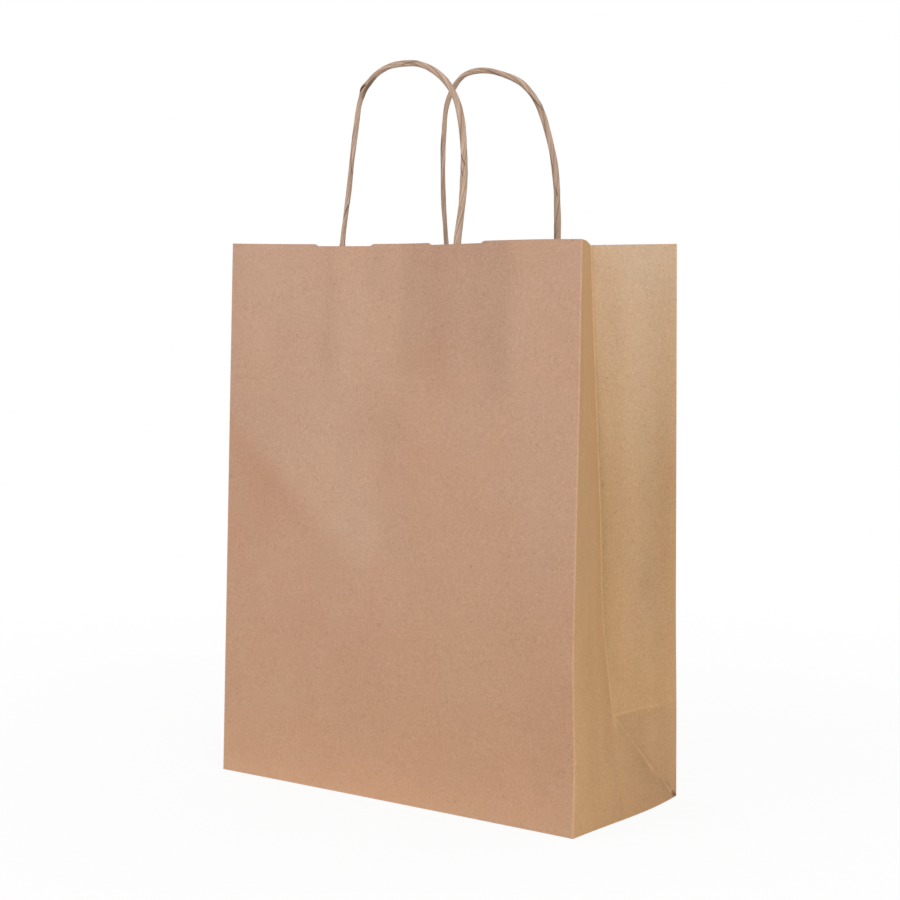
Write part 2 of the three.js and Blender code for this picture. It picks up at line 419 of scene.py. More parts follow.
@dataclass(frozen=True)
class PaperFinish(Finish):
    """Uncoated kraft paper: mottled, flecked and faintly ribbed.

    The mesh gives its marks: "tone", "warm" and "pale" are the shares of the yellow, the warm
    and the pale colour, "blush" reddens, "shade" darkens, and "fold" pales the folds. The yellow
    colour is painted shade, a darker copy of the paper for the gussets, the flaps and the parts
    inside the bag, and the pale colour is painted light high on the gussets. "shade" carries
    painted shade and painted light besides uneven tone, and the pale folds are partly worn paper
    and partly a painted highlight. A scale is the number of blotches in a metre.
    """

    face: Colour
    warm: Colour
    # Painted shade: a darker, yellower copy of the paper for its less lit parts.
    shaded_yellow: Colour
    # Painted light: a paler copy of the paper.
    pale: Colour
    roughness: float = 0.88
    grain_scale: float = 860.0
    mottle_scale: float = 200.0
    rib_scale: float = 600.0
    blotch_scale: float = 62.0
    hue_scale: float = 48.0
    cloud_scale: float = 17.0
    tint_scale: float = 15.0
    dark_fleck_scale: float = 330.0
    light_fleck_scale: float = 390.0
    relief: float = 0.12
    bump: float = 0.22
    specular: float = 0.25

    def _make(self) -> bpy.types.Material:
        """Build the material.

        Returns:
            The finished material.
        """
        bench = Bench.for_material(self.name)
        place = bench.node("TexCoord").outputs["Object"]
        grain = self._noise(bench, place, self.grain_scale, 3.0, 0.0)
        mottle = self._noise(bench, place, self.mottle_scale, 2.0, 3.0)
        colour = bench.blend(self.face, self.warm, bench.attribute("warm"))
        # Painted shade from the darker copy on the gussets and inner parts, and painted light from the
        # pale colour high on the gussets.
        colour = bench.blend(colour, self.shaded_yellow, bench.attribute("tone"))
        colour = bench.blend(colour, self.pale, bench.attribute("pale"))
        colour = bench.blend(colour, self._levels(bench, place, mottle, grain), 1.0, "MULTIPLY")
        upright = (1.0, 1.0, 0.04)
        ribs = self._noise(bench, place, self.rib_scale, 1.0, 7.0, upright)
        height = grain * 0.6 + mottle * 1.2 + ribs * 0.3
        bump = bench.node("Bump", None, Strength=self.bump, Distance=self.relief * MM, Height=height)
        rough = self.roughness + (mottle - 0.5) * 0.12 - bench.attribute("fold") * 0.06
        return bench.matt(colour, rough, self.specular, bump)

    def _levels(self, bench: Bench, place: object, mottle: Signal, grain: Signal) -> object:
        """Uneven lightness and hue, from clouds down to single fibres.

        Args:
            bench: The bench of the material.
            place: Socket of the object's coordinates.
            mottle: The fine noise.
            grain: The finest noise.

        Returns:
            Socket of the factors for red, green and blue.
        """
        cloud = self._noise(bench, place, self.cloud_scale, 2.0, 19.0) - 0.5
        blotch = self._noise(bench, place, self.blotch_scale, 2.0, 23.0) - 0.5
        hue = self._noise(bench, place, self.hue_scale, 1.0, 29.0) - 0.5
        tint = self._noise(bench, place, self.tint_scale, 1.0, 37.0) - 0.5
        dark = self._flecks(bench, place, self.dark_fleck_scale, 11.0, 0.6)
        light = self._flecks(bench, place, self.light_fleck_scale, 17.0, 0.57)
        fine = (mottle - 0.5) * 0.08 + (grain - 0.5) * 0.46
        # Folds are paled, partly as worn paper and partly as a painted highlight; the shade mark adds
        # painted shade and painted light.
        worn = bench.attribute("fold") * (mottle * 0.2 + 0.03) - bench.attribute("shade") * 0.1
        level = 1.0 + cloud * 0.06 + blotch * 0.06 + worn - dark * 0.2
        blush = bench.attribute("blush")
        red = level + fine * 0.82 + light * 0.1 + blush * 0.022
        green = level + fine * 1.02 - hue * 0.05 - tint * 0.1 - blush * 0.012 + light * 0.12
        blue = level + fine * 1.25 - hue * 0.1 - tint * 0.14 - blush * 0.012 + light * 0.15
        return bench.node("CombineXYZ", None, red, green, blue).outputs[0]

    def _flecks(self, bench: Bench, place: object, scale: float, shift: float, rare: float) -> Signal:
        """Short curled fibres that lie in the surface.

        Args:
            bench: The bench of the material.
            place: Socket of the object's coordinates.
            scale: How many bends there are in a metre.
            shift: Where in the pattern the paper lies.
            rare: The share of the pattern that holds none.

        Returns:
            1 on a fibre and 0 off it.
        """
        bend = (self._noise(bench, place, scale, 1.5, shift) - 0.5).size()
        here = self._noise(bench, place, scale * 1.3, 1.0, shift + 2.0).ramp(rare, rare + 0.07)
        return (1.0 - bend.ramp(0.008, 0.026)) * here

    @staticmethod
    def _noise(
        bench: Bench,
        place: object,
        scale: float,
        detail: float,
        shift: float,
        stretch: Colour = (1.0, 1.0, 1.0),
    ) -> Signal:
        """Add one noise on the object's own coordinates.

        Args:
            bench: The bench of the material.
            place: Socket of the object's coordinates.
            scale: How many blotches there are in a metre.
            detail: Number of finer layers.
            shift: Where in the noise the object lies.
            stretch: Factors of the coordinates.

        Returns:
            The noise, about 0.5 on average.
        """
        corner = (shift, shift * 0.7, shift * 0.3)
        moved = bench.node("Mapping", None, place, corner, Scale=stretch).outputs[0]
        return bench.signal("TexNoise", None, Vector=moved, Scale=scale, Detail=detail, Roughness=0.55)


@dataclass(frozen=True)
class WoundPlace:
    """A point's place on a cord as its material sees it: beside its middle and along it."""

    bench: Bench
    near: Signal
    beside: Signal
    along: Signal

    def noise(self, girth: float, pace: float, shift: float, detail: float) -> Signal:
        """Add one noise that winds with the cord.

        Args:
            girth: How quickly it changes around the cord.
            pace: How many changes there are in a metre of cord.
            shift: Tells this noise from others.
            detail: Number of finer layers.

        Returns:
            The noise, about 0.5 on average.
        """
        sideways, forwards = self.near * girth, self.beside * girth
        place = self.bench.node("CombineXYZ", None, sideways, forwards, self.along * pace + shift)
        return self.bench.signal("TexNoise", None, Vector=place.outputs[0], Scale=1.0, Detail=detail)


@dataclass(frozen=True)
class CordFinish(Finish):
    """Twisted kraft cord: fibres that run with the twist, and sparse folds darkened by painted shade.

    The mesh gives each point's place along the cord and around it, how far it faces out of the
    handle's loop, and where the folds and the broad shadows are.
    """

    face: Colour
    dull: Colour
    # The deep colour is a painted shadow on the cord's inner side, and the groove colour painted shade in
    # its fold lines.
    deep: Colour
    groove: Colour
    roughness: float = 0.86
    relief: float = 0.15
    bump: float = 0.6
    specular: float = 0.3

    def _make(self) -> bpy.types.Material:
        """Build the material.

        Returns:
            The finished material.
        """
        bench = Bench.for_material(self.name)
        ring = bench.node("Attribute", {"attribute_name": "ring"}).outputs["Vector"]
        parts = bench.node("SeparateXYZ", None, ring).outputs
        sides = (Signal(bench, parts[0]), Signal(bench, parts[1]))
        place = WoundPlace(bench, *sides, bench.attribute("along"))
        streaks = place.noise(5.0, 40.0, 0.0, 4.0)
        strands = place.noise(2.0, 30.0, 9.0, 3.0)
        blotch = place.noise(0.8, 85.0, 31.0, 3.0)
        thread = 1.0 - (place.noise(3.2, 34.0, 17.0, 2.0) - 0.5).size().ramp(0.006, 0.03)
        colour = bench.blend(self.face, self.dull, strands.ramp(0.4, 0.6))
        level = 1.03 + (streaks - 0.5) * 1.15 + (blotch - 0.5) * 0.5 - thread * 0.28
        green = level - (blotch - 0.5) * 0.12
        levels = bench.node("CombineXYZ", None, level, green, level).outputs[0]
        colour = bench.blend(colour, levels, 1.0, "MULTIPLY")
        outer = bench.attribute("outer")
        # Painted shadow along the inner side of the loop, then painted shade in the fold lines.
        broad = 1.0 - (outer - bench.attribute("side")).size().ramp(0.2, 0.65)
        colour = bench.blend(colour, self.deep, broad * bench.attribute("shadow") * (streaks + 0.4))
        line = self.fold_line(outer, bench.attribute("slant"), bench.attribute("crease"))
        colour = bench.blend(colour, self.groove, line * (streaks * 0.9 + 0.45))
        height = streaks + strands - thread * 0.4 - line
        bump = bench.node("Bump", None, Strength=self.bump, Distance=self.relief * MM, Height=height)
        rough = self.roughness + (blotch - 0.5) * 0.12
        return bench.matt(colour, rough, self.specular, bump)

    @staticmethod
    def fold_line(outer: Signal, slant: Signal, depth: Signal) -> Signal:
        """How deep a fold line is at a point of the cord, and 0 off the line.

        Args:
            outer: How far the point faces out of the loop, from -1 to 1.
            slant: How far out of the loop the line is here.
            depth: The line's depth here.

        Returns:
            The depth.
        """
        return (1.0 - (outer - slant).size().ramp(0.04, 0.3)) * depth


class Side(Enum):
    """A large panel of the bag, by the sign of its outward direction along Y."""

    FRONT = -1
    BACK = 1


# The marks that a paper mesh carries for its material.
MARKS = ("tone", "warm", "pale", "blush", "fold", "shade")


@dataclass
class Quilt:
    """Collects grids of points and joins them into one mesh."""

    points: list[Array] = field(default_factory=list)
    faces: list[tuple[int, ...]] = field(default_factory=list)
    marks: dict[str, list[Array]] = field(default_factory=lambda: {label: [] for label in MARKS})
    count: int = 0

    def add(self, points: Array, turned: bool = False, **marks: Array | float) -> None:
        """Add one grid.

        Args:
            points: Points in rows up the sheet and columns along it, in millimetres.
            turned: Whether the grid's faces are turned over.
            marks: The paper's marks at each point, where they aren't 0.
        """
        rows, columns = points.shape[:2]
        index = self.count + np.arange(rows * columns).reshape(rows, columns)
        corners = [index[:-1, :-1], index[:-1, 1:], index[1:, 1:], index[1:, :-1]]
        if turned:
            corners.reverse()
        self.faces += list(zip(*(corner.ravel().tolist() for corner in corners)))
        self.points.append(points.reshape(-1, 3))
        for label, values in self.marks.items():
            values.append(np.broadcast_to(marks.get(label, 0.0), (rows, columns)).ravel())
        self.count += rows * columns

    def mesh(self, name: str, thickness: float) -> bpy.types.Object:
        """Join the grids along their shared edges and give them their thickness.

        Args:
            name: The object's name.
            thickness: Thickness of the paper, inwards from the points, in millimetres.

        Returns:
            The finished object, with its place in its mesh.
        """
        data = bpy.data.meshes.new(name)
        data.from_pydata(np.concatenate(self.points) * MM, [], self.faces)
        for label, values in self.marks.items():
            layer = data.attributes.new(label, "FLOAT", "POINT")
            layer.data.foreach_set("value", np.concatenate(values).astype(np.float32))
        piece = bpy.data.objects.new(name, data)
        bpy.context.scene.collection.objects.link(piece)
        weld = piece.modifiers.new("join", "WELD")
        weld.merge_threshold = 0.002 * MM
        wall = piece.modifiers.new("wall", "SOLIDIFY")
        wall.thickness = thickness * MM
        wall.offset = -1.0
        return settle(piece)


def settle(piece: bpy.types.Object, sharp_degrees: float = 48.0) -> bpy.types.Object:
    """Turn a piece with modifiers into a plain, smoothly shaded mesh.

    Args:
        piece: The object with live modifiers.
        sharp_degrees: Angle past which an edge stays sharp.

    Returns:
        The same object, with a plain mesh and no modifier.
    """
    bpy.context.view_layer.update()
    evaluated = piece.evaluated_get(bpy.context.evaluated_depsgraph_get())
    data = bpy.data.meshes.new_from_object(evaluated)
    piece.modifiers.clear()
    if piece.type == "MESH":
        piece.data = data
    data.polygons.foreach_set("use_smooth", [True] * len(data.polygons))
    data.set_sharp_from_angle(angle=math.radians(sharp_degrees))
    return piece


@dataclass
class FoldedSheet:
    """The shape of the open bag's sheet, from a few sizes in millimetres.

    A place on the sheet is its distance round the bag from the front panel's left fold, and
    its distance up the sheet from the base folds. Below the base folds are the flaps. A ripple
    is its place across the front panel, its width and its slope.
    """

    width: float
    depth: float
    height: float
    paper: float = 0.16
    front_lean: float = 10.5
    back_lean: float = 4.0
    back_trim: float = 1.2
    edge_dip: float = 1.2
    gusset_bow: float = 1.4
    front_base_bow: float = 0.6
    side_base_bow: float = 2.6
    base_spread: float = 0.8
    top_shift: float = 0.75
    crease_rise: float = 1.4
    softness: float = 0.75
    flap_reach: float = 65.0
    notch_depth: float = 1.1
    notch_slope: float = 2.4
    front_notches: tuple[tuple[float, float], ...] = ((-57.2, -16.3), (21.7, 58.6))
    back_notches: tuple[tuple[float, float], ...] = ((-52.8, -15.8), (25.0, 62.0))
    front_legs: tuple[float, float] = (FRONT_LOOP[0][0], FRONT_LOOP[-1][0])
    back_legs: tuple[float, float] = (BACK_LOOP[0][0], BACK_LOOP[-1][0])
    leg_length: float = 42.0
    leg_rise: float = 0.16
    leg_show: float = 3.6
    patch_length: float = 152.0
    patch_height: float = 50.0
    patch_drop: float = 5.0
    patch_rise: float = 0.08
    seam_inset: float = 3.0
    seam_width: float = 20.0
    ripples: tuple[tuple[float, float, float], ...] = (
        (-57.0, 6.0, -0.03),
        (-30.0, 20.0, 0.02),
        (8.0, 18.0, -0.035),
        (84.0, 22.0, 0.02),
    )
    bend_start: tuple[float, float] = (-118.0, 208.0)
    bend_end: tuple[float, float] = (-16.0, 116.0)

    def __post_init__(self) -> None:
        """Work out the sizes that follow from the others."""
        self.half_width = self.width / 2
        self.half_depth = self.depth / 2
        self.length = math.hypot(self.height, self.front_lean)
        self.girth = 2 * (self.width + self.depth)
        self.patch_bottom = self.patch_drop + self.patch_height
        beyond = 8.0
        steps = np.linspace(self.half_depth, self.length + beyond, 400)
        inset, middle = self._pleat_inset(steps), self._pleat_middle(steps)
        step = np.diff(steps) * (1 - self.back_trim / 2 / (self.length - self.half_depth))
        rise = np.sqrt(step**2 - np.diff(inset) ** 2 - np.diff(middle) ** 2)
        self.tip_inset = float(self._pleat_inset(np.array(self.half_depth)))
        tip_height = math.sqrt(self.half_depth**2 - self.tip_inset**2)
        self._pleat_places = steps
        self._pleat_heights = tip_height + np.concatenate([[0.0], np.cumsum(rise)])

    def front_fold(self, up: Array) -> tuple[Array, Array]:
        """Y and Z of the front panel at a distance up the sheet."""
        share = up / self.length
        return self.front_lean * share - self.half_depth, self.height * share

    def back_fold(self, up: Array) -> tuple[Array, Array]:
        """Y and Z of the back panel at a distance up the sheet."""
        share = up / self.length
        return self.half_depth - self.back_lean * share, (self.height - self.back_trim) * share

    def _pleat_middle(self, up: Array) -> Array:
        """Y of the pleat, halfway between the panels."""
        return (self.back_fold(up)[0] + self.front_fold(up)[0]) / 2

    def _pleat_inset(self, up: Array) -> Array:
        """How far the pleat goes in, so that its halves keep their flat width."""
        between = (self.back_fold(up)[0] - self.front_fold(up)[0]) / 2
        return np.sqrt(np.maximum(0.0, self.half_depth**2 - between**2))

    @staticmethod
    def _front_drift(up: Array) -> Array:
        """How far the right front fold wanders from its straight line, along X."""
        at_base, low_turn, high_turn = 1.65, 2.5, 0.6
        return at_base - low_turn * smoothstep(up, 25.0, 100.0) - high_turn * smoothstep(up, 200.0, 300.0)

    @staticmethod
    def _back_drift(up: Array) -> Array:
        """How far the right back fold wanders from its straight line, along X."""
        turn = 0.5
        return -turn * smoothstep(up, 40.0, 110.0)

    def _pleat_drift(self, up: Array) -> Array:
        """How much less deep the pleat is than a flat fold would make it.

        Args:
            up: Distance up the sheet.

        Returns:
            Distance out of the bag at each place.
        """
        at_top, gain, pulled_in = 0.4, 2.4, 2.0
        low = np.clip((self.length - up) / (self.length - self.half_depth), 0.0, 1.0)
        return at_top + gain * low - pulled_in * bell(up, 108.0, 36.0)

    def _gusset(self, over: Array, up: Array, drifts: float) -> Array:
        """Points of the right gusset, before its folds are softened.

        Args:
            over: Distance from the front fold across the gusset, 0 to the depth.
            up: Distance up the sheet.
            drifts: 1 where its outer folds wander and 0 where they are straight.

        Returns:
            Points, one for each place.
        """
        above = np.maximum(up, 0.0)
        front_y, front_z = self.front_fold(above)
        back_y, back_z = self.back_fold(above)
        low = above < self.half_depth
        share = np.clip(above / self.half_depth, 0.0, 1.0)
        tip_y = float(self._pleat_middle(np.array(self.half_depth)))
        tip_z = self._pleat_heights[0]
        inset = np.where(low, self.tip_inset * share, self._pleat_inset(above))
        high_z = np.interp(above, self._pleat_places, self._pleat_heights)
        fold_z = np.where(low, tip_z * share, high_z)
        middle_y = self._pleat_middle(above)
        near_y = np.where(low, mix(-self.half_depth, tip_y, share), middle_y)
        far_y = np.where(low, mix(self.half_depth, tip_y, share), middle_y)
        reach = np.where(low, np.maximum(above, 1e-6), self.half_depth)
        near = np.clip(over / reach, 0.0, 1.0)
        far = np.clip((self.depth - over) / reach, 0.0, 1.0)
        between = np.clip((over - reach) / np.maximum(self.depth - 2 * reach, 1e-6), 0.0, 1.0)
        parts = [over <= reach, over >= self.depth - reach]
        sides_y = [mix(front_y, near_y, near), mix(back_y, far_y, far)]
        sides_z = [mix(front_z, fold_z, near), mix(back_z, fold_z, far)]
        y = np.select(parts, sides_y, mix(near_y, far_y, between))
        z = np.select(parts, sides_z, fold_z)
        front_off, back_off = self._front_drift(above) * drifts, self._back_drift(above) * drifts
        near_off = mix(front_off, self._pleat_drift(above), share)
        far_off = mix(back_off, self._pleat_drift(above), share)
        sides_off = [mix(front_off, near_off, near), mix(back_off, far_off, far)]
        across = np.select(parts, [near, far], 1.0)
        x = self.half_width - inset * across
        x = x + np.select(parts, sides_off, mix(near_off, far_off, between))
        swell = np.sin(math.pi * np.clip((above - self.half_depth) / self.length, 0.0, 1.0))
        x = x + self.gusset_bow * swell * np.sin(math.pi * across)
        bowed = np.sin(math.pi * np.clip(over / self.depth, 0.0, 1.0) ** 1.6) * (1 - share)
        x = x + self.side_base_bow * bowed + np.minimum(up, 0.0)
        return np.stack([x, y, z], -1)

    def _base_bow(self, x: Array, above: Array) -> Array:
        """How far the base fold of a large panel curves into the bag."""
        across = np.clip(1 - (x / self.half_width) ** 2, 0.0, 1.0)
        return self.front_base_bow * across * np.exp(-above / 40.0)

    def folded(self, over: Array, up: Array) -> Array:
        """Points of the sheet with hard folds.

        Args:
            over: Distance round the bag.
            up: Distance up the sheet, below 0 on the way under the base.

        Returns:
            Points, one for each place.
        """
        over, up = np.broadcast_arrays(np.mod(over, self.girth), up)
        above, under = np.maximum(up, 0.0), np.minimum(up, 0.0)
        front_y, front_z = self.front_fold(above)
        back_y, back_z = self.back_fold(above)
        front_x = over - self.half_width
        front_y = front_y + self._base_bow(front_x, above)
        front_x = front_x + self._front_drift(above) * np.clip((front_x - 40.0) / 80.0, 0.0, 1.0)
        front = np.stack([front_x, front_y - under, front_z], -1)
        back_x = self.half_width - (over - self.width - self.depth)
        back_y = back_y - self._base_bow(back_x, above)
        back_x = back_x + self._back_drift(above) * np.clip((back_x - 40.0) / 80.0, 0.0, 1.0)
        back = np.stack([back_x, back_y + under, back_z], -1)
        right = self._gusset(np.clip(over - self.width, 0.0, self.depth), up, 1.0)
        left = self._gusset(np.clip(self.girth - over, 0.0, self.depth), up, 0.0)
        left = left * np.array([-1.0, 1.0, 1.0])
        ends = [self.width, self.width + self.depth, 2 * self.width + self.depth]
        cases = [(over < end)[..., None] for end in ends]
        points = np.select(cases, [front, right, back], left)
        share = above / self.length
        points[..., 0] *= 1 + self.base_spread / self.half_width * (1 - share)
        points[..., 0] += self.top_shift * share
        points[..., 2] += self.crease_rise * np.sin(math.pi * np.clip(above / self.depth, 0.0, 1.0)) ** 2
        return points

    def soft(self, over: Array, up: Array) -> Array:
        """Points of the sheet with rounded folds.

        Args:
            over: Distance round the bag.
            up: Distance up the sheet.

        Returns:
            Points, each the mean of the hard-folded sheet close round its place.
        """
        taps = [(0.0, 0.0)]
        for reach in (0.5, 1.0):
            angles = np.arange(8) * math.pi / 4
            taps += [(reach * math.cos(angle), reach * math.sin(angle)) for angle in angles]
        size = self.softness
        total = sum(self.folded(over + size * a, up + size * b) for a, b in taps)
        return total / len(taps)

    def outward(self, over: Array, up: Array) -> Array:
        """Unit directions out of the sheet's outer face.

        Args:
            over: Distance round the bag.
            up: Distance up the sheet.

        Returns:
            Directions, one for each place.
        """
        reach = 0.9
        along = self.soft(over + reach, up) - self.soft(over - reach, up)
        rising = self.soft(over, up + reach) - self.soft(over, up - reach)
        out = np.cross(along, rising)
        return out / np.maximum(np.linalg.norm(out, axis=-1, keepdims=True), 1e-9)

    def cut(self, over: Array) -> Array:
        """How far below the panel's corners the top edge is cut.

        Args:
            over: Distance round the bag.

        Returns:
            Depth of the cut at each place.
        """
        on_front = over <= self.width
        back_start = self.width + self.depth
        on_back = (over >= back_start) & (over <= back_start + self.width)
        x = np.where(on_front, over - self.half_width, self.half_width - (over - back_start))
        dip = self.edge_dip * (1 - (x / self.half_width) ** 2)
        risen = dip * 0.85 * smoothstep(x, 0.0, 80.0) + 0.3 * bell(x, 94.0, 25.0)
        dip = dip - np.where(on_front, risen, 0.0)
        depth = np.zeros_like(x)
        for notches, here in ((self.front_notches, on_front), (self.back_notches, on_back)):
            for start, end in notches:
                edge = np.minimum(x - start, end - x)
                notch = self.notch_depth * np.clip(edge / self.notch_slope, 0.0, 1.0)
                depth = depth + np.where(here, notch, 0.0)
        return np.where(on_front | on_back, dip, 0.0) + depth

    def panel_relief(self, side: Side, x: Array, up: Array) -> Array:
        """Height of a large panel above its flat form.

        Args:
            side: Which panel.
            x: Place across the panel.
            up: Distance up the sheet.

        Returns:
            Outward height, in millimetres.
        """
        down = self.length - up
        edge = np.minimum(self.half_width - np.abs(x), np.maximum(up, 0.0))
        loose = smoothstep(edge, 0.0, 34.0)
        glued = smoothstep(down, self.patch_bottom - 12.0, self.patch_bottom + 45.0)
        seed = 11 if side is Side.FRONT else 23
        broad, fine = waves(x, up, seed, 190.0, 48.0), waves(x * 2.2, up * 0.25, seed + 1, 120.0, 40.0)
        height = loose * (0.7 * (0.25 + 0.75 * glued) * broad + 0.2 * bell(down, 0.0, 90.0) * fine)
        legs = self.front_legs if side is Side.FRONT else self.back_legs
        over_legs = sum(bell(x, leg, self.leg_show) for leg in legs)
        height = height + self.leg_rise * over_legs * fade(down, self.leg_length - 6, self.leg_length + 6)
        in_patch = smoothstep(self.patch_length / 2 - np.abs(x - sum(legs) / 2), -1.5, 1.5)
        in_patch = in_patch * smoothstep(self.patch_bottom - down, -1.5, 1.5)
        height = height + self.patch_rise * in_patch
        own = self._ripples(x, down) + self.bend(x, up)[0] if side is Side.FRONT else self._back_crease(up)
        return height + loose * own

    def _ripples(self, x: Array, down: Array) -> Array:
        """Upright ripples that start under the handle's legs and fade down the front panel."""
        height = sum(tilt * width * np.tanh((x - place) / width) for place, width, tilt in self.ripples)
        return -height * fade(down, 60.0, 150.0)

    def bend(self, x: Array, up: Array) -> tuple[Array, Array, Array]:
        """The soft bend that runs down across the left of the front panel.

        Args:
            x: Place across the panel.
            up: Distance up the sheet.

        Returns:
            Its height, and the shares of painted light above it and of painted shade below it.
        """
        start, end = np.array(self.bend_start), np.array(self.bend_end)
        run = (end - start) / np.hypot(*(end - start))
        along = (x - start[0]) * run[0] + (up - start[1]) * run[1]
        off = (x - start[0]) * -run[1] + (up - start[1]) * run[0]
        light = smoothstep(off, -4.0, 10.0) * fade(off, 25.0, 75.0) * fade(x, -12.0, -3.0)
        light = light * smoothstep(along, 0.0, 55.0) * fade(along, 122.0, 138.0)
        below = smoothstep(-off, -4.0, 8.0) * fade(-off, 8.0, 62.0)
        below = below * smoothstep(along, -30.0, -5.0) * fade(along, 35.0, 125.0)
        held = smoothstep(along, -20.0, 30.0) * fade(along, 100.0, 150.0)
        return 0.8 * held * bell(off, 0.0, 20.0), light, below

    def _back_crease(self, up: Array) -> Array:
        """The crease across the back, from when the base lay folded flat against it."""
        return 0.45 * np.maximum(0.0, 1 - np.abs(up - self.half_depth - 2.0) / 5.0)

    def gusset_relief(self, over: Array, up: Array, seed: int) -> Array:
        """Height of a gusset above its folded form.

        Args:
            over: Distance from the gusset's front fold.
            up: Distance up the sheet.
            seed: Seed of its waves.

        Returns:
            Outward height, in millimetres.
        """
        edge = np.minimum(np.minimum(over, self.depth - over), np.abs(over - self.half_depth))
        loose = smoothstep(edge, 0.0, 14.0) * smoothstep(up, self.half_depth, self.half_depth + 50.0)
        return 0.35 * loose * waves(over * 1.6, up, seed, 150.0, 35.0)


# Soft spots and streaks of painted shade and painted light, standing in for the shading of the
# paper's gentle bends and ripples, with some uneven tone; the blushes and the warm spot change its
# hue. On a large panel they are placed from its middle, and on a gusset from its pleat towards
# the back.
TOP_SHADE_STREAKS = (
    Spot(-98.0, 14.0, -0.4),
    Spot(-46.0, 5.0, 0.4),
    Spot(-31.0, 11.0, -0.15),
    Spot(28.0, 9.0, 0.3),
    Spot(46.0, 6.0, -0.2),
    Spot(73.0, 7.0, 0.25),
    Spot(88.0, 12.0, -0.15),
)
PANEL_SHADE_SPOTS = (
    Spot(-46.0, 9.0, 0.45, 245.0, 20.0),
    Spot(-19.0, 10.0, -0.5, 185.0, 14.0),
    Spot(0.0, 45.0, -0.18, 48.0, 38.0),
    Spot(5.0, 6.0, 0.45, 205.0, 12.0),
    Spot(79.0, 6.0, 0.5, 287.0, 12.0),
)
PANEL_BLUSHES = (
    Spot(-34.0, 9.0, -0.5, 264.2, 22.0),
    Spot(-20.0, 45.0, 0.7, 92.0, 38.0),
    Spot(50.0, 13.0, 0.8, 269.2, 35.0),
)
WARM_SPOT = Spot(12.0, 42.0, 0.2, 264.2, 50.0)
GUSSET_SHADE_SPOTS = (
    Spot(0.8, 1.6, -1.2, 49.5, 4.5),
    Spot(4.0, 5.0, -0.55, 60.0, 8.0),
    Spot(10.6, 6.36, -0.35, 90.0, 35.0),
    Spot(30.2, 7.95, 0.6, 123.0, 18.0),
    Spot(31.8, 12.72, 0.45, 158.0, 75.0),
    Spot(37.1, 19.08, 1.2, 180.0, 100.0),
)


